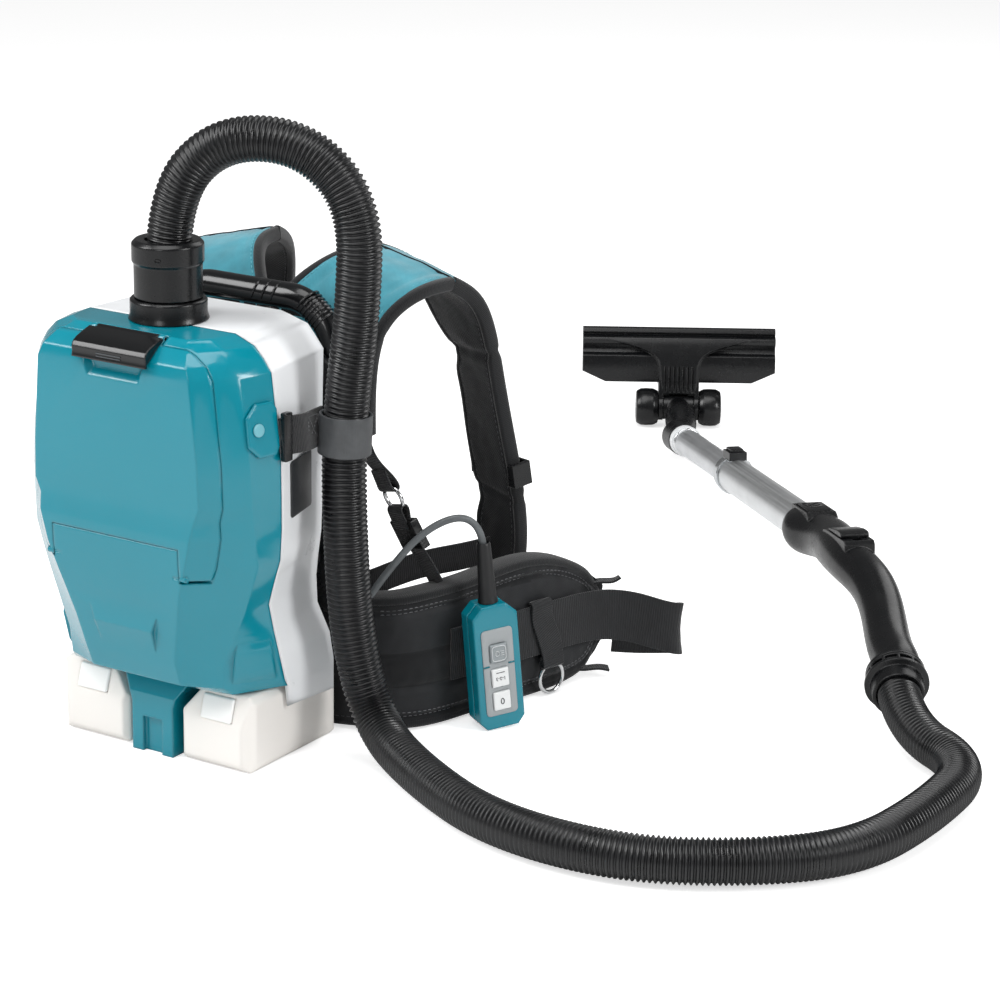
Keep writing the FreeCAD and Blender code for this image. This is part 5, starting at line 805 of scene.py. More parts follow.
def binding(name, pad, places, width, extra=0.0006):
    """Tape folded over an edge: a flat tube along the edge's middle line, as thick as the pad there."""
    spots = np.array(places, float)
    base = pad.at(spots[:, 0], "centre") + pad.at(spots[:, 0], "across") * (
        spots[:, 1] * pad.at(spots[:, 0], "half_width"))[:, None]
    inward = pad.at(spots[:, 0], "inward")
    runs = runs_of(base)
    marks = np.linspace(0, runs[-1], max(12, int(runs[-1] / 0.004)))
    line, inward = read_at(marks, runs, base), read_at(marks, runs, inward)
    ways = ways_of(line)
    inward = squared(inward, ways)
    side = np.cross(ways, inward)
    t, u = read_at(marks, runs, spots).T
    half = pad.at(t, "half_width")
    near = np.clip(1 - (width * 0.9) / half, 0, 1)
    deep = pad.thickness(t, np.sign(u) * np.minimum(np.abs(u), near)) + extra
    around = 16
    turns = np.linspace(0, math.tau, around, endpoint=False)
    flat = np.sign(np.cos(turns)) * np.abs(np.cos(turns)) ** 0.6
    tall = np.sign(np.sin(turns)) * np.abs(np.sin(turns)) ** 0.6
    points = (line[:, None, :] + side[:, None, :] * (flat * width / 2)[None, :, None]
              + inward[:, None, :] * (tall[None, :] * deep[:, None])[:, :, None])
    steps = round_steps(around, 2 * (width + 2 * float(deep.mean())))
    return outward(tube(name, points.reshape(-1, 3), around, marks, steps, [(0, 0)] * around))


def stitches(name, line, ways_out, pitch=0.005, length=0.0031, width=0.0009, rise=0.0004):
    """A row of thread dashes along a line, each a small rounded lozenge half sunk in the cloth."""
    line, ways_out = np.array(line, float), np.array(ways_out, float)
    runs = runs_of(line)
    points, faces = [], []
    for index in range(max(2, int(runs[-1] / pitch))):
        middle = (index + 0.5) * pitch
        ends = read_at([middle - length / 2, middle, middle + length / 2], runs, line)
        out = read_at(middle, runs, ways_out)
        way = ends[2] - ends[0]
        side = np.cross(way, out)
        side = side / max(np.linalg.norm(side), 1e-9) * width / 2
        base = len(points)
        first, centre, last = ends
        lift = out * rise
        points += [first - lift, centre - side - lift, centre + lift, centre + side - lift, last - lift,
                   first + side * 0.5, first - side * 0.5, last + side * 0.5, last - side * 0.5,
                   first * 0.6 + centre * 0.4 + lift, last * 0.6 + centre * 0.4 + lift]
        for loop in ((0, 6, 9, 5), (6, 1, 2, 9), (9, 2, 3, 5), (1, 8, 10, 2), (2, 10, 7, 3), (8, 4, 7, 10)):
            faces.append([base + k for k in loop])
    return new_mesh(name, points, faces)


def stitched(name, pad, places, face, **sizes):
    """A row of thread dashes on a face of a pad."""
    shares = np.array(places, float)[:, 0]
    return stitches(name, line_on(pad, places, face, 0.0003), pad.at(shares, "inward") * face, **sizes)


def tape(name, line, across, width, thickness=0.002, count=None):
    """Flat webbing along a smooth line, its broad side turned by across (one way, or one for each point)."""
    line = np.array(line, float)
    across = np.array(across, float)
    if across.ndim == 1:
        across = np.repeat(across[None], len(line), axis=0)
    made = through(np.concatenate([line, across], axis=1), count or max(8, 10 * len(line)))
    line, ways = made[:, :3], ways_of(made[:, :3])
    across = squared(made[:, 3:], ways)
    out = np.cross(ways, across)
    half, thin, rounded = width / 2, thickness / 2, 0.0004
    low_side = [(-half, -thin + rounded), (-half + rounded, -thin), (-half * 0.5, -thin), (0, -thin),
                (half * 0.5, -thin), (half - rounded, -thin), (half, -thin + rounded)]
    profile = low_side + [(a, -b) for a, b in low_side[::-1]]
    around = len(profile)
    points = np.array([[line[i] + across[i] * a + out[i] * b for a, b in profile] for i in range(len(line))])
    steps = [(profile[j][0], profile[(j + 1) % around][0]) for j in range(around)]
    return outward(tube(name, points.reshape(-1, 3), around, runs_of(line), steps, profile))


def mirrored(item, name):
    """A copy on the other side of the object's middle plane, with a mesh of its own."""
    copy = item.copy()
    copy.data = item.data.copy()
    copy.name = copy.data.name = name
    copy.parent = None
    bpy.context.scene.collection.objects.link(copy)
    copy.data.transform(Matrix.Scale(-1, 4, (1, 0, 0)))
    copy.data.flip_normals()
    return copy


# Sizes and colours in the panel

def panel_colour(name, description, *channels):
    return bpy.props.FloatVectorProperty(name=name, description=description, subtype="COLOR", size=4,
                                         min=0, max=1, default=tint(*channels))


def panel_length(name, description, default, least):
    return bpy.props.FloatProperty(name=name, description=description, unit="LENGTH", default=default,
                                   min=least)


class VacuumColours(bpy.types.PropertyGroup):
    teal: panel_colour("Teal plastic", "Colour of the glossy teal shells", 0, 130, 148)
    white: panel_colour("White plastic", "Colour of the rear housing", 238, 240, 242)
    black: panel_colour("Black plastic", "Colour of the black mouldings", 15, 16, 18)
    teal_cloth: panel_colour("Teal cloth", "Colour of the yoke's outer cloth", 62, 140, 156)
    black_cloth: panel_colour("Black cloth", "Colour of the harness pads and tapes", 25, 26, 28)


class VacuumSizes(bpy.types.PropertyGroup):
    rib_pitch: panel_length("Hose rib pitch", "Distance from one hose rib to the next", 0.0042, 0.002)
    hose_radius: panel_length("Hose radius", "Radius over the hose's ribs", 0.018, 0.005)
    rib_depth: panel_length("Hose rib depth", "Depth of the grooves between the ribs", 0.0021, 0.0)
    cable_radius: panel_length("Cable radius", "Radius of the remote control's cable", 0.003, 0.001)
    binding_width: panel_length("Binding width", "Width of the tape folded over edges", 0.008, 0.002)
    stitch_pitch: panel_length("Stitch pitch", "Distance from one stitch to the next", 0.005, 0.002)


def sizes():
    return bpy.context.scene.vacuum_sizes


# Pieces

class VACUUM_OT_finishes(bpy.types.Operator):
    """Make the finishes, and give each CAD node its own with its hard edges eased"""
    bl_idname = "vacuum.finishes"
    bl_label = "Finishes"

    def execute(self, context):
        FINISH.update(finishes())
        for finish, (slot, widths) in NODE_FINISH.items():
            for name, width in widths.items():
                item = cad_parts[name]
                item.data.materials.clear()
                item.data.materials.append(FINISH[finish])
                only(item)
                bpy.ops.mesh.customdata_custom_splitnormals_clear()
                weld = item.modifiers.new("Weld", "WELD")
                weld.merge_threshold = 1e-5
                if width:
                    planes = item.modifiers.new("Planes", "DECIMATE")
                    planes.decimate_type = "DISSOLVE"
                    planes.angle_limit = math.radians(0.6)
                    bevelled(item, width, 3, 24)
                    item.modifiers["Bevel"].harden_normals = True
                bpy.ops.object.shade_smooth_by_angle(angle=math.radians(FACETED.get(name, 24)))
        return {"FINISHED"}


class VACUUM_OT_hose(bpy.types.Operator):
    """Make the ribbed suction hose along its route"""
    bl_idname = "vacuum.hose"
    bl_label = "Suction hose"

    def execute(self, context):
        line = nurbs_line("hose_route", HOSE_ROUTE)
        profile = [1.0, 0.93, 0.30, 0.0, 0.0, 0.55]
        steps = len(profile)
        points = even(line, round(runs_of(line)[-1] / sizes().rib_pitch) * steps + 1)
        top, deep = sizes().hose_radius, sizes().rib_depth
        radii = [top - deep * (1 - profile[i % steps]) for i in range(len(points))]
        hose = swept("suction_hose_ribbed", points, radii, 28, (0, 1, 0))
        dress(settle(hose, 80), "hose_black", "unit", "hose", "suction_hose")
        return {"FINISHED"}


class VACUUM_OT_cable(bpy.types.Operator):
    """Make the remote control's cable"""
    bl_idname = "vacuum.cable"
    bl_label = "Remote cable"

    def execute(self, context):
        cable = nurbs_curve("remote_cord", CABLE_ROUTE, 24)
        cable.data.bevel_depth = sizes().cable_radius
        cable.data.bevel_resolution = 8
        cable.data.use_fill_caps = True
        dress(cable, "cable_grey", "unit", "soft_rubber", "remote_cable")
        return {"FINISHED"}


class VACUUM_OT_keeper(bpy.types.Operator):
    """Make the sleeve and strap that keep the hose at the housing's side, with their bar and rivet"""
    bl_idname = "vacuum.keeper"
    bl_label = "Hose keeper"

    def execute(self, context):
        line = even(nurbs_line("hose_route", HOSE_ROUTE), 1500)
        upper = [i for i in range(900) if line[i][1] > 0.03]
        index = min(upper, key=lambda i: abs(line[i][2] - KEEPER_HEIGHT))
        middle = Vector(line[index])
        way = (Vector(line[index + 4]) - Vector(line[index - 4])).normalized()
        bpy.ops.mesh.primitive_cylinder_add(vertices=64, radius=0.0213, depth=0.032, end_fill_type="NOTHING",
                                            location=middle, rotation=way.to_track_quat("Z", "Y").to_euler())
        sleeve = context.active_object
        sleeve.name = "keeper_sleeve"
        only(sleeve)
        bpy.ops.object.mode_set(mode="EDIT")
        bpy.ops.mesh.select_all(action="SELECT")
        bpy.ops.mesh.subdivide(number_cuts=3)
        bpy.ops.object.mode_set(mode="OBJECT")
        wall = sleeve.modifiers.new("Wall", "SOLIDIFY")
        wall.thickness = 0.0024
        wall.offset = -1
        bevelled(sleeve, 0.0007)
        webbed(sleeve, TAPE_ANGLE, "hose_strap", finish="keeper_rubber")
        strap = tape("keeper_strap", KEEPER_RUN, (-0.131, 0, 1), 0.030, 0.0024)
        webbed(strap, TAPE_ANGLE)
        corners = [Vector((0.1182 - (y - 0.014) * 0.19 + 0.0013, y, 0.2784 - 0.08 * (y - 0.02) + z))
                   for y, z in ((0.022, 0.011), (0.040, 0.011), (0.040, -0.011), (0.022, -0.011))]
        rows = [stitches("keeper_stitches", [corners[first], corners[last]], [Vector((1, 0.2, 0))] * 2,
                         0.0032, 0.0022, 0.0008, 0.0003)
                for first, last in ((0, 1), (1, 2), (2, 3), (3, 0), (0, 2), (1, 3))]
        dress(joined("keeper_stitches", rows), "thread_grey", "unit", "webbing")
        bar = loop_bar("keeper_bar", (0.1190, -0.0085, 0.2806), (0, 0, 0), (0.006, 0.009, 0.039), 0.0013)
        dress(bar, "black_satin", "unit", "black_shell")
        bpy.ops.mesh.primitive_cylinder_add(vertices=48, radius=0.0052, depth=0.0016,
                                            location=(0.1102, -0.0322, 0.2895))
        rivet = context.active_object
        rivet.name = "bracket_rivet"
        rivet.rotation_euler = Vector((0.960, -0.245, 0.127)).to_track_quat("Z", "Y").to_euler()
        bevelled(rivet, 0.0006)
        dress(settle(rivet), "rivet_teal", "unit", "teal_shell")
        return {"FINISHED"}


def loop_bar(name, place, turn, size, ease):
    """A small rounded bar or block."""
    bpy.ops.mesh.primitive_cube_add(size=1, location=place, rotation=turn)
    item = bpy.context.active_object
    item.name = item.data.name = name
    item.scale = size
    only(item)
    bpy.ops.object.transform_apply(location=False, rotation=False, scale=True)
    bevelled(item, ease, 4)
    return settle(item)


def paint_faces(item, choose):
    """Set each face's material by the place of its middle."""
    for face in item.data.polygons:
        face.material_index = choose(face.center, face.normal)


def edge_rows(pad, count, inset, start):
    """Rows of stitches along both edges of a pad, on both its faces."""
    edges = [pad.edge_line(count, inset=inset, start=start, end=1 - start, side=side) for side in (1, -1)]
    return [stitched("thread", pad, edge, face, pitch=sizes().stitch_pitch)
            for edge in edges for face in (1, -1)]


class VACUUM_OT_yoke(bpy.types.Operator):
    """Make the shoulder yoke and the shoulder straps with their bindings and stitches"""
    bl_idname = "vacuum.yoke"
    bl_label = "Yoke and shoulder straps"

    def execute(self, context):
        arms, trims, threads = [], [], []
        for mirror in (False, True):
            pad = Padding(YOKE_ARM, 90, mirror)
            pad.rim, pad.low_rim, pad.puff = 0.012, 0.25, 0.0011
            pad.seams = [
                (lambda p, t, u: (t - 0.47) * p.length, 0.28, 0.004),
                (lambda p, t, u: (np.abs(u) - 0.62) * p.at(t, "half_width") + (t < 0.47) * 0.05, 0.22, 0.003)]
            arms.append(pad.mesh("yoke_arm", 96, 34))
            for side, free, sewn in ((1, 0.0, 0.02), (-1, 0.36, 0.38)):
                places = pad.edge_line(70, 0.003, start=free, side=side)
                trims.append(binding("yoke_trim", pad, places, sizes().binding_width))
                edge = pad.edge_line(70, inset=0.0085, start=sewn, end=0.97, side=side)
                threads.append(stitched("yoke_thread", pad, edge, -1, pitch=sizes().stitch_pitch))
            cross = [(0.47, u) for u in np.linspace(-0.86, 0.86, 30)]
            threads.append(stitched("yoke_thread", pad, cross, -1, pitch=sizes().stitch_pitch))
        yoke = joined("yoke_cushion", arms)
        paint_faces(yoke, lambda place, normal: int(
            (normal.y if place.z < YOKE_BEND else -normal.z) <= -0.15))
        dress(settle(yoke, PAD_ANGLE), ["mesh_black", "cloth_teal"], "unit", "teal_fabric", "shoulder_yoke")
        webbed(joined("yoke_binding", trims), PAD_ANGLE, finish="tape_black")
        dress(joined("yoke_stitches", threads), "thread_teal", "unit", "teal_fabric")
        for mirror, side_name in ((False, "right"), (True, "left")):
            self.strap(side_name, mirror)
        return {"FINISHED"}

    def strap(self, side_name, mirror):
        pad = Padding(STRAP, 120, mirror)
        pinch = sum(deep * np.exp(-((pad.centre[:, 2] - high) / wide) ** 2)
                    for deep, high, wide in STRAP_PINCHES)
        pad.half_width -= pinch
        pad.centre += pad.across * (pinch * (-1 if mirror else 1))[:, None]
        pad.rim, pad.low_rim, pad.puff = 0.010, 0.5, 0.0009
        pad.seams = [(lambda p, t, u: (t - 0.34) * p.length, 0.35, 0.004),
                     (lambda p, t, u: (t - 0.76) * p.length - 0.004 * u, 0.30, 0.003),
                     (lambda p, t, u: (t - 0.985) * p.length, 0.5, 0.003)]
        body = pad.mesh(side_name + "_strap_cushion", 150, 30)
        outer = Vector((0, 0.75, 0.65))
        paint_faces(body, lambda place, normal: int(place.z > STRAP_SEAM and normal.dot(outer) > 0.2))
        dress(settle(body, PAD_ANGLE), ["mesh_black", "cloth_teal"], "unit", "black_fabric",
              side_name + "_shoulder_strap")
        trims = [binding("strap_trim", pad, pad.edge_line(90, 0.0022, side=side), 0.006) for side in (1, -1)]
        webbed(joined(side_name + "_strap_binding", trims), PAD_ANGLE, finish="tape_black")
        dress(joined(side_name + "_strap_stitches", edge_rows(pad, 90, 0.0065, 0.03)), "thread_dark", "unit",
              "webbing")
        spots = [(t, 0.0) for t in np.linspace(0.30, 0.985, 24)]
        run = line_on(pad, spots, -1, 0.0012)
        across = [pad.at(np.array(t), "across") for t, u in spots]
        outer = tape(side_name + "_strap_webbing", run, across, 0.025, 0.0018, 120)
        webbed(outer, TAPE_ANGLE)


class VACUUM_OT_belt(bpy.types.Operator):
    """Make the back pad, the lumbar pad and the belt wings, with their bindings and stitches"""
    bl_idname = "vacuum.belt"
    bl_label = "Belt and pads"

    def execute(self, context):
        back = Padding(BACK, 60)
        back.round_start = back.round_end = True
        back.corner, back.puff = 0.016, 0.0006
        self.cushion(back, "back_cushion", "back_pad", (0.27, 0.5, 0.73), 0.35, (110, 60), 0.7)
        lumbar = Padding(LUMBAR, 90)
        lumbar.puff = 0.0008
        self.cushion(lumbar, "lumbar_cushion", "lumbar_pad", (0.2, 0.4, 0.6, 0.8), 0.3, (120, 44), 0.65)
        for mirror, side_name in ((False, "right"), (True, "left")):
            self.wing(side_name, mirror)
        return {"FINISHED"}

    def cushion(self, pad, name, node, shares, deep, grid, fill):
        pad.rim, pad.low_rim = 0.012, 0.45
        pad.seams = [(lambda p, t, u, m=m: (t - m) * p.length, deep, 0.0035) for m in shares]
        body = pad.mesh(name, *grid)
        paint_faces(body, lambda place, normal: int(normal.y <= 0.2))
        dress(settle(body, PAD_ANGLE), ["mesh_black", "cloth_black"], "unit", "black_fabric", node)
        if pad.round_start:
            places = pad.edge_line(60, 0.0026)
            edges = [places + places[:1]]
        else:
            edges = [pad.edge_line(60, 0.0026, side=side) for side in (1, -1)]
        trims = [binding("trim", pad, places, 0.007) for places in edges]
        webbed(joined(name.replace("cushion", "binding"), trims), PAD_ANGLE, finish="tape_black")
        rows = edge_rows(pad, 60, 0.008, 0.02)
        rows += [stitched("thread", pad, [(share, u) for u in np.linspace(-0.88, 0.88, 30)], 1,
                          pitch=sizes().stitch_pitch) for share in shares]
        dress(joined(name.replace("cushion", "stitches"), rows), "thread_dark", "unit", "webbing")

    def wing(self, side_name, mirror):
        pad = Padding(WING, 120, mirror)
        pad.round_end = True
        pad.corner, pad.rim, pad.low_rim, pad.puff = 0.030, 0.010, 0.42, 0.0012
        pad.seams = [(lambda p, t, u, m=m: (u - m) * p.at(t, "half_width"), depth, width)
                     for m, depth, width in WING_SEAMS]
        body = pad.mesh(side_name + "_wing_cushion", 170, 64)
        out = Vector((-1 if mirror else 1, -0.27, 0)).normalized()

        def choose(place, normal):
            if normal.dot(out) < 0.1:
                return 0
            u = (place.z - 0.0612) / 0.059
            return 2 if (0.12 < u < 0.74) or (-0.80 < u < -0.40) else 1

        paint_faces(body, choose)
        dress(settle(body, PAD_ANGLE), ["mesh_black", "cloth_black", "cloth_puffed"], "unit", "black_fabric",
              side_name + "_belt_wing")
        trim = binding(side_name + "_wing_binding", pad, pad.edge_line(110, 0.0034), 0.0085, 0.0008)
        webbed(trim, PAD_ANGLE, finish="tape_black")
        rows = [stitched("thread", pad, pad.edge_line(110, inset=inset, start=0.03), face, pitch=0.0048)
                for inset, face in ((0.0105, -1), (0.0145, -1), (0.0105, 1))]
        dress(joined(side_name + "_wing_stitches", rows), "thread_grey", "unit", "webbing")


class VACUUM_OT_webbing(bpy.types.Operator):
    """Make the belt's band with its loop, the webbing with its tabs, and the ring's hanger"""
    bl_idname = "vacuum.webbing"
    bl_label = "Webbing"

    def execute(self, context):
        band = tape("belt_band", BELT_BAND, (0, 0, 1), 0.045, 0.0021, 160)
        bands = joined("belt_bands", [band, mirrored(band, "belt_band_left")])
        webbed(bands, WEB_ANGLE, "belt_webbing")
        ring = Vector(WEB_RING)
        way = Vector((18, 11, -52)).normalized()
        across = Vector((0.96, -0.28, 0))
        across = (across - way * across.dot(way)).normalized()
        out = way.cross(across).normalized()
        pieces = []
        for sign, far in WEB_ENDS:
            spot = ring + way * sign * 0.011
            loop = [spot + out * away + way * sign * on for away, on in RING_LOOP]
            pieces.append(tape("web", loop + [Vector(point) for point in far], across, 0.020, 0.0018, 90))
        pieces.append(tape("web", LOW_WEB, (0.1, 0, 1), 0.025, 0.0019, 60))
        pieces += [mirrored(piece, "web_left") for piece in pieces]
        webs = joined("harness_webs", pieces)
        webbed(webs, WEB_ANGLE, "lower_webbing")
        hang = Vector((0.1948, 0.2663, 0.0))
        side = Vector((0.963, -0.27, 0)).normalized()
        way = Vector((0.27, 0.963, 0)).normalized()
        top = hang - way * 0.013
        run = [start + side * out + UP * high for start, out, high in (
            (top, -0.0036, 0.0862), (top, -0.0014, 0.0866), (top, 0.0006, 0.0852), (top, 0.0010, 0.0800),
            (hang - way * 0.0065, 0.0011, 0.0570), (hang, 0.0014, 0.036), (hang, 0.0022, 0.031),
            (hang, 0.0018, 0.0262), (hang, -0.0016, 0.0258), (hang, -0.0022, 0.030), (hang, -0.0008, 0.036))]
        tab = tape("ring_tab", run, (0.27, 0.963, 0), 0.023, 0.0019, 110)
        webbed(tab, WEB_ANGLE, "ring_hanger")
        return {"FINISHED"}


class VACUUM_OT_bag(bpy.types.Operator):
    """Make the dust bag behind the lid, with its card"""
    bl_idname = "vacuum.bag"
    bl_label = "Dust bag"

    def execute(self, context):
        low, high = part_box("dust_bag")
        rows, around = 60, 72
        points = []
        top = low.z + 0.124
        half = (high.x - low.x) / 2
        deep = 0.98 * (high.y - low.y) / 2
        middle = (high.y + low.y) / 2
        for i in range(rows):
            share = i / (rows - 1)
            z = low.z + (top - low.z) * share
            full = min(1.0, 0.62 + 0.38 * math.sin(math.pi * min(share * 1.6, 1) / 2))
            full *= 1 - 0.3 * max(0, share - 0.82) / 0.18
            for j in range(around):
                turn = math.tau * j / around
                a, b = math.cos(turn), math.sin(turn)
                x = math.copysign(abs(a) ** 0.55, a) * half * full * 0.985
                y = math.copysign(abs(b) ** 0.6, b) * deep * full * 0.97
                fold = noise.noise(Vector((x * 40, y * 40, z * 22))) * 0.0016
                fold += 0.0008 * math.sin(turn * 18 + 5 * z * 30) * (1 - abs(share - 0.5))
                scale = 1 - abs(fold) / half - 0.01
                points.append((x * scale, middle + y * scale, z))
        bag = tube("fleece_bag", points, around, None)
        dress(settle(bag, 50), "fleece_white", "unit", "bag_fleece", "dust_bag")
        plate = loop_bar("bag_card", (0, middle, high.z - 0.0015), (0, 0, 0),
                         (2 * half * 0.9, 0.082, 0.003), 0.0008)
        dress(plate, "card", "unit", "bag_fleece")
        return {"FINISHED"}


class VACUUM_OT_stage(bpy.types.Operator):
    """Make the floor, the lamps and the camera"""
    bl_idname = "vacuum.stage"
    bl_label = "Stage"

    def execute(self, context):
        scene = context.scene
        bpy.ops.mesh.primitive_plane_add(size=40, location=(0, 0, -0.0002))
        floor = context.active_object
        floor.name = "floor"
        finish, tree, shader = finish_of("floor_white", Roughness=0.7)
        shader.inputs["Base Color"].default_value = (0.86, 0.86, 0.86, 1)
        seen = add(tree, "LightPath")
        glow = add(tree, "Emission", {"Color": (1, 1, 1, 1), "Strength": FLOOR_GLOW})
        none = add(tree, "Emission", {"Color": (0, 0, 0, 1), "Strength": 0.0})
        pick = add(tree, "MixShader", {
            0: seen.outputs["Is Camera Ray"], 1: none.outputs[0], 2: glow.outputs[0]})
        total = add(tree, "AddShader", {0: shader.outputs[0], 1: pick.outputs[0]})
        out = next(item for item in tree.nodes if item.type == "OUTPUT_MATERIAL")
        tree.links.new(total.outputs[0], out.inputs[0])
        floor.data.materials.append(finish)
        world = bpy.data.worlds.new("studio")
        scene.world = world
        world.use_nodes = True
        tree = world.node_tree
        path = add(tree, "LightPath")
        direct = times(tree, path.outputs["Is Camera Ray"], path.outputs["Is Transmission Ray"], "MAXIMUM")
        level = add(tree, "MapRange", {0: direct, 1: 0.0, 2: 1.0, 3: WORLD_LIGHT, 4: 1.0}).outputs[0]
        level = times(tree, level, ranged(tree, path.outputs["Is Glossy Ray"], 1.0, 0.60))
        ground = tree.nodes["Background"]
        ground.inputs["Color"].default_value = (1, 1, 1, 1)
        tree.links.new(level, ground.inputs["Strength"])
        for name, place, target, size, power in LAMPS:
            lamp = bpy.data.lights.new(name, "AREA")
            lamp.shape = "RECTANGLE"
            lamp.size, lamp.size_y, lamp.energy = size, size * 1.5, power
            holder = bpy.data.objects.new(name, lamp)
            scene.collection.objects.link(holder)
            holder.location = place
            holder.rotation_euler = (Vector(target) - Vector(place)).to_track_quat("-Z", "Y").to_euler()
        yaw, pitch, roll = [math.radians(angle) for angle in CAMERA_TURN]
        ahead = Vector((-math.sin(yaw) * math.cos(pitch), math.cos(yaw) * math.cos(pitch), -math.sin(pitch)))
        right = Vector((math.cos(yaw), math.sin(yaw), 0))
        above = right.cross(ahead)
        right, above = (right * math.cos(roll) + above * math.sin(roll),
                        above * math.cos(roll) - right * math.sin(roll))
        data = bpy.data.cameras.new("camera")
        data.lens, data.sensor_width = CAMERA_LENS, 36
        data.clip_start, data.clip_end = 0.05, 60
        camera = bpy.data.objects.new("camera", data)
        scene.collection.objects.link(camera)
        turned = Matrix((right, above, -ahead)).transposed()
        camera.matrix_world = Matrix.Translation(CAMERA_PLACE) @ turned.to_4x4()
        scene.camera = camera
        scene.view_settings.view_transform = "Standard"
        return {"FINISHED"}


# Small rigid fittings, plates and marks, each on the body that carries it

def placed(origin, across, above):
    """A place with its own ways: across it, up it, and out of its face."""
    across, above = Vector(across).normalized(), Vector(above).normalized()
    out = across.cross(above).normalized()
    made = Matrix((across, out.cross(across), out)).transposed().to_4x4()
    made.translation = Vector(origin)
    return made


def in_wand(along, side, high):
    """A point given in the wand's own frame, in metres."""
    return (Vector((-0.034, 0.915, 0.030)) + Vector(WAND_X) * along + Vector(WAND_Y) * side
            + Vector(WAND_Z) * high)


def in_remote(side, out, high):
    """A point given in the remote control's own frame, in metres; its face looks along minus `out`."""
    turned = Matrix.Rotation(math.radians(57), 4, "Z") @ Matrix.Rotation(math.radians(-5.5), 4, "Y")
    return Vector((0.1955, 0.181, 0.0018)) + turned @ Vector((side, out, high))


def rounded_plate(name, place, size, corner, thick, ease=0.0002, line=None, holes=()):
    """A plate with rounded corners and eased edges, its back at its place, with holes or as a rim."""
    bpy.ops.mesh.primitive_plane_add(size=1)
    item = bpy.context.active_object
    item.name = item.data.name = name
    item.scale = (*size, 1)
    only(item)
    bpy.ops.object.transform_apply(scale=True)
    bpy.ops.object.mode_set(mode="EDIT")
    bpy.ops.mesh.select_all(action="SELECT")
    bpy.ops.mesh.bevel(affect="VERTICES", offset=corner, segments=6)
    if line:
        bpy.ops.mesh.select_all(action="SELECT")
        bpy.ops.mesh.inset(thickness=line)
        bpy.ops.mesh.delete(type="FACE")
    bpy.ops.object.mode_set(mode="OBJECT")
    solid = item.modifiers.new("Solid", "SOLIDIFY")
    solid.thickness, solid.offset = thick, 1
    cutters = []
    for spot, hole, rounding in holes:
        cutter = rounded_plate("cutter", Matrix.Translation((*spot, -thick)), hole, rounding, thick * 3, 0)
        cut = item.modifiers.new("Cut", "BOOLEAN")
        cut.object, cut.solver = cutter, "EXACT"
        cutters.append(cutter)
    if ease:
        bevelled(item, ease, 2, 40)
    only(item)
    for modifier in [m.name for m in item.modifiers]:
        bpy.ops.object.modifier_apply(modifier=modifier)
    for cutter in cutters:
        bpy.data.objects.remove(cutter)
    item.matrix_world = place
    return settle(item, 40)


def sign(name, words, place, size):
    """Flat raised figures, centred on their place."""
    bpy.ops.object.text_add()
    item = bpy.context.active_object
    item.name = name
    item.data.body, item.data.size = words, size
    item.data.align_x, item.data.align_y = "CENTER", "CENTER"
    item.data.extrude = 0.00012
    only(item)
    bpy.ops.object.convert(target="MESH")
    item = bpy.context.active_object
    item.name = item.data.name = name
    item.matrix_world = place
    return settle(item, 30)


class VACUUM_OT_housing_trim(bpy.types.Operator):
    """Make the blank plate on the side, the lines on the lid's latch and the slot of the hose cuff"""
    bl_idname = "vacuum.housing_trim"
    bl_label = "Housing trim"

    def execute(self, context):
        out = Vector((0.9716, 0.2370, 0))
        spot = Vector((0.10598, 0.027, 0.232)) + out * 0.0001
        plate = rounded_plate("side_plate", placed(spot, (-out.y, out.x, 0), UP), (0.0412, 0.046), 0.003,
                              0.0012, 0.0004)
        dress(plate, "plate_dark", "unit", "black_shell")
        rows = [loop_bar("latch_line", (side * 0.0001, -0.0768, 0.3405 + side * 0.0011),
                         (math.radians(-4), 0, 0), (0.024, 0.0008, 0.0009), 0.0003) for side in (-1, 1)]
        dress(joined("latch_lines", rows), "legend", "latch", "black_shell")
        slot = rounded_plate("cuff_slot", placed((0.0106, -0.0279, 0.4075), (0.93, 0.37, 0), UP),
                             (0.0052, 0.0030), 0.0012, 0.0007, 0.0003, line=0.0008)
        dress(slot, "black_satin", "cuff", "black_shell")
        return {"FINISHED"}


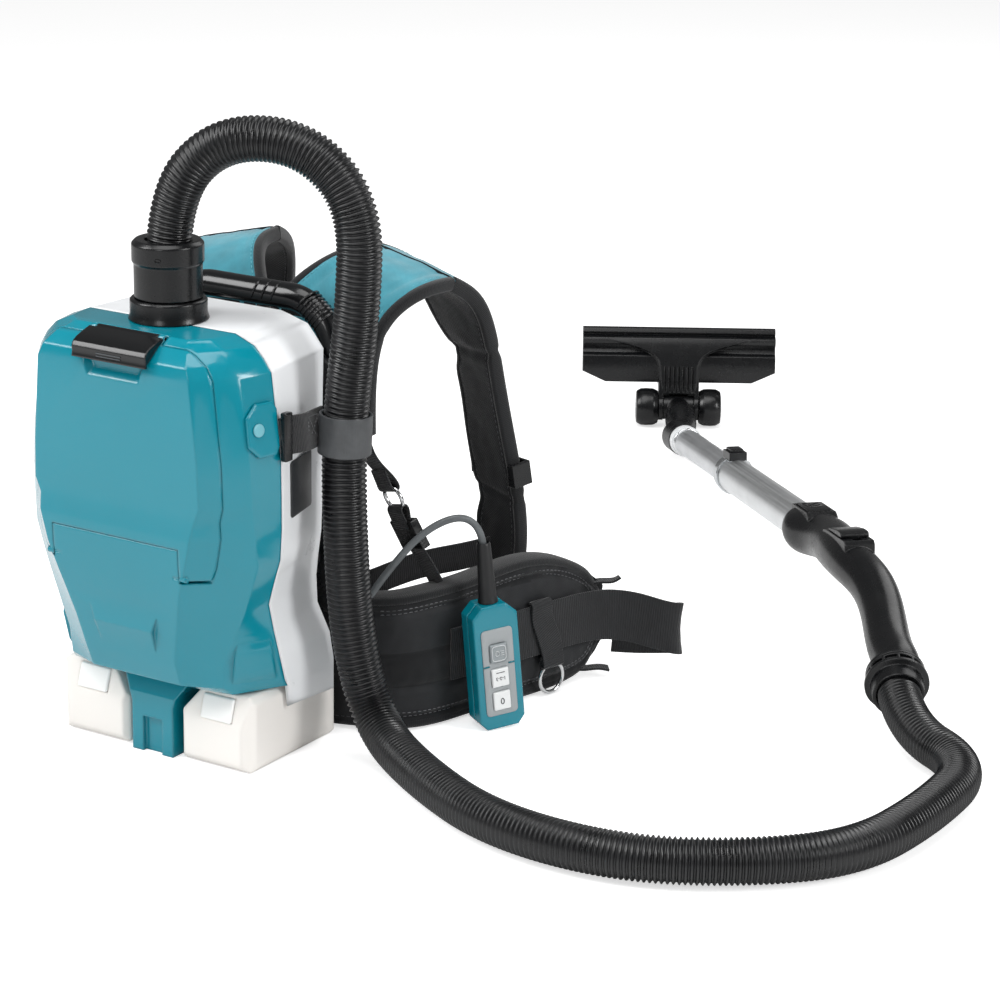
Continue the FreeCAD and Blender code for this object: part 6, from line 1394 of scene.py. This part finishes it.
class VACUUM_OT_keypad(bpy.types.Operator):
    """Make the remote control's plate with its split line, and the signs on its keys"""
    bl_idname = "vacuum.keypad"
    bl_label = "Keypad"

    def execute(self, context):
        across, above = in_remote(1, 0, 0) - in_remote(0, 0, 0), in_remote(0, 0, 1) - in_remote(0, 0, 0)

        def face(side, high, out=-0.01195):
            return placed(in_remote(side, out, high), across, above)

        middle, keys, top = 0.050, (0.0248, 0.0454, 0.067), -0.01468
        holes = [((0, high - middle), (0.0158, 0.0168), 0.0030) for high in keys]
        plate = rounded_plate("keypad_plate", face(0, middle), (0.0280, 0.0760), 0.0034, 0.0008, 0.0002,
                              holes=holes)
        dress(plate, "keypad_grey", "unit", "key_white")
        line = [rounded_plate("split", face(side * 0.0112, 0.0562, -0.01265), (0.0056, 0.0016), 0.0004,
                              0.0004, 0.0001) for side in (-1, 1)]
        dress(joined("keypad_line", line), "teal_gloss", "unit", "teal_shell")
        turned = Matrix.Rotation(math.pi, 4, "Z")
        marks = [sign("figures", "1-2-3", face(0, 0.0448, -0.01470) @ turned, 0.0042),
                 rounded_plate("bar", face(0, middle, top), (0.0078, 0.0006), 0.0002, 0.0002, 0.0001)]
        dress(joined("speed_key_sign", marks), "legend", "speed_key", "black_shell")
        dress(sign("stop_key_sign", "0", face(0, 0.0248, -0.01470) @ turned, 0.0078), "legend", "stop_key",
              "black_shell")
        marks = [
            rounded_plate("rim", face(0, keys[2], top), (0.0128, 0.0136), 0.0030, 0.0003, 0.0001, 0.0007),
            rounded_plate("bulb", face(-0.0016, keys[2], top), (0.0034, 0.0048), 0.0015, 0.0003, 0.0001,
                          0.0006)]
        marks += [rounded_plate("ray", face(0.0030, keys[2] + step * 0.0018, top), (0.0034, 0.0006), 0.0002,
                                0.0003, 0.0001) for step in (-1, 0, 1)]
        dress(joined("light_key_sign", marks), "legend_pale", "light_key", "key_white")
        return {"FINISHED"}


class VACUUM_OT_wand_marks(bpy.types.Operator):
    """Make the marks and the bead of the inner tube, and the chevrons of the release button"""
    bl_idname = "vacuum.wand_marks"
    bl_label = "Wand marks"

    def execute(self, context):
        ticks = []
        turn, lean, radius, pitch = math.radians(62), math.radians(-38), 0.01365, 0.0098
        side, high = math.cos(turn), math.sin(turn)
        along = Vector(WAND_X)
        cross = (Vector(WAND_Y) * side + Vector(WAND_Z) * high).cross(along)
        for step in range(13):
            spot = placed(in_wand(0.010 + step * pitch, side * radius, high * radius),
                          along * math.cos(lean) + cross * math.sin(lean),
                          cross * math.cos(lean) - along * math.sin(lean))
            ticks.append(rounded_plate("tick", spot, (0.0046, 0.0013), 0.0005, 0.0004, 0.0001))
        dress(joined("inner_tube_ticks", ticks), "tube_bright", "inner_wand", "tube_metal")
        bpy.ops.mesh.primitive_torus_add(major_radius=0.0141, minor_radius=0.0011, major_segments=72,
                                         minor_segments=14)
        bead = bpy.context.active_object
        bead.name = bead.data.name = "inner_tube_bead"
        bead.matrix_world = placed(in_wand(-0.0085, 0, 0), WAND_Y, WAND_Z)
        dress(settle(bead, PAD_ANGLE), "tube_bright", "inner_wand", "tube_metal")
        bars = []
        for step in range(3):
            for side in (-1, 1):
                spot = placed(in_wand(0.439 + step * 0.0075, side * 0.0036, 0.02285),
                              Vector(WAND_X) * 0.62 + Vector(WAND_Y) * side * -0.78,
                              Vector(WAND_Y) * 0.62 + Vector(WAND_X) * side * 0.78)
                bars.append(rounded_plate("bar", spot, (0.0094, 0.0016), 0.0005, 0.0007, 0.0003))
        dress(joined("release_chevrons", bars), "black_gloss", "release_key", "black_shell")
        return {"FINISHED"}


class VACUUM_OT_grip_marks(bpy.types.Operator):
    """Make the raised bows and the ribs on the carrying handle, and the loose tape ends of the belt wings"""
    bl_idname = "vacuum.grip_marks"
    bl_label = "Handle ribs and tape ends"

    def execute(self, context):
        bows = []
        turns = np.radians(np.linspace(-20, 75, 20))
        for step in range(3):
            line = [(0.009 + step * 0.0095 + 0.0035 * math.sin(turn), 0.107 - 0.0112 * math.cos(turn),
                     0.358 + 0.0112 * math.sin(turn)) for turn in turns]
            radii = np.sin(np.linspace(0.25, math.pi - 0.25, len(turns))) * 0.0011
            bows.append(swept("bow", line, radii, 12, (1, 0, 0)))
        way = Vector((26, 0, -22)).normalized()
        for step in range(7):
            spot = Vector((0.0560, 0.107, 0.3563)) + way * (step * 0.0038)
            bpy.ops.mesh.primitive_torus_add(major_radius=0.0110, minor_radius=0.0010, major_segments=48,
                                             minor_segments=10)
            ring = bpy.context.active_object
            ring.matrix_world = placed(spot, (0, 1, 0), way.cross(Vector((0, 1, 0))))
            only(ring)
            bpy.ops.object.transform_apply(location=True, rotation=True, scale=True)
            bows.append(ring)
        marks = joined("carry_handle_ribs", bows)
        dress(settle(marks, PAD_ANGLE), "black_gloss", "unit", "black_shell")
        for side, side_name in ((1, "right"), (-1, "left")):
            ends = [tape("end", [(side * x, y, z) for x, y, z in run], (side * -0.45, 0.89, 0), 0.011,
                         0.0020, 30) for run in TAPE_ENDS]
            item = joined(side_name + "_wing_tape_ends", ends)
            webbed(item, TAPE_ANGLE)
        return {"FINISHED"}


OPERATORS = [VACUUM_OT_stage, VACUUM_OT_finishes, VACUUM_OT_hose, VACUUM_OT_cable, VACUUM_OT_keeper,
             VACUUM_OT_yoke, VACUUM_OT_belt, VACUUM_OT_webbing, VACUUM_OT_bag, VACUUM_OT_housing_trim,
             VACUUM_OT_keypad, VACUUM_OT_wand_marks, VACUUM_OT_grip_marks]


class VACUUM_PT_panel(bpy.types.Panel):
    """Lists the pieces, their sizes and their colours"""
    bl_idname = "VACUUM_PT_panel"
    bl_label = "Backpack vacuum cleaner"
    bl_space_type = "VIEW_3D"
    bl_region_type = "UI"
    bl_category = "Vacuum"

    def draw(self, context):
        for group in (context.scene.vacuum_colours, context.scene.vacuum_sizes):
            box = self.layout.box()
            for name in group.__annotations__:
                box.prop(group, name)
        for operator in OPERATORS:
            self.layout.operator(operator.bl_idname)


CLASSES = [VacuumColours, VacuumSizes, *OPERATORS, VACUUM_PT_panel]


def register():
    for item in CLASSES:
        bpy.utils.register_class(item)
    bpy.types.Scene.vacuum_colours = bpy.props.PointerProperty(type=VacuumColours)
    bpy.types.Scene.vacuum_sizes = bpy.props.PointerProperty(type=VacuumSizes)


def unregister():
    del bpy.types.Scene.vacuum_colours
    del bpy.types.Scene.vacuum_sizes
    for item in reversed(CLASSES):
        bpy.utils.unregister_class(item)


def main():
    register()
    for operator in OPERATORS:
        group, name = operator.bl_idname.split(".")
        getattr(getattr(bpy.ops, group), name)()


if __name__ == "__main__":
    main()
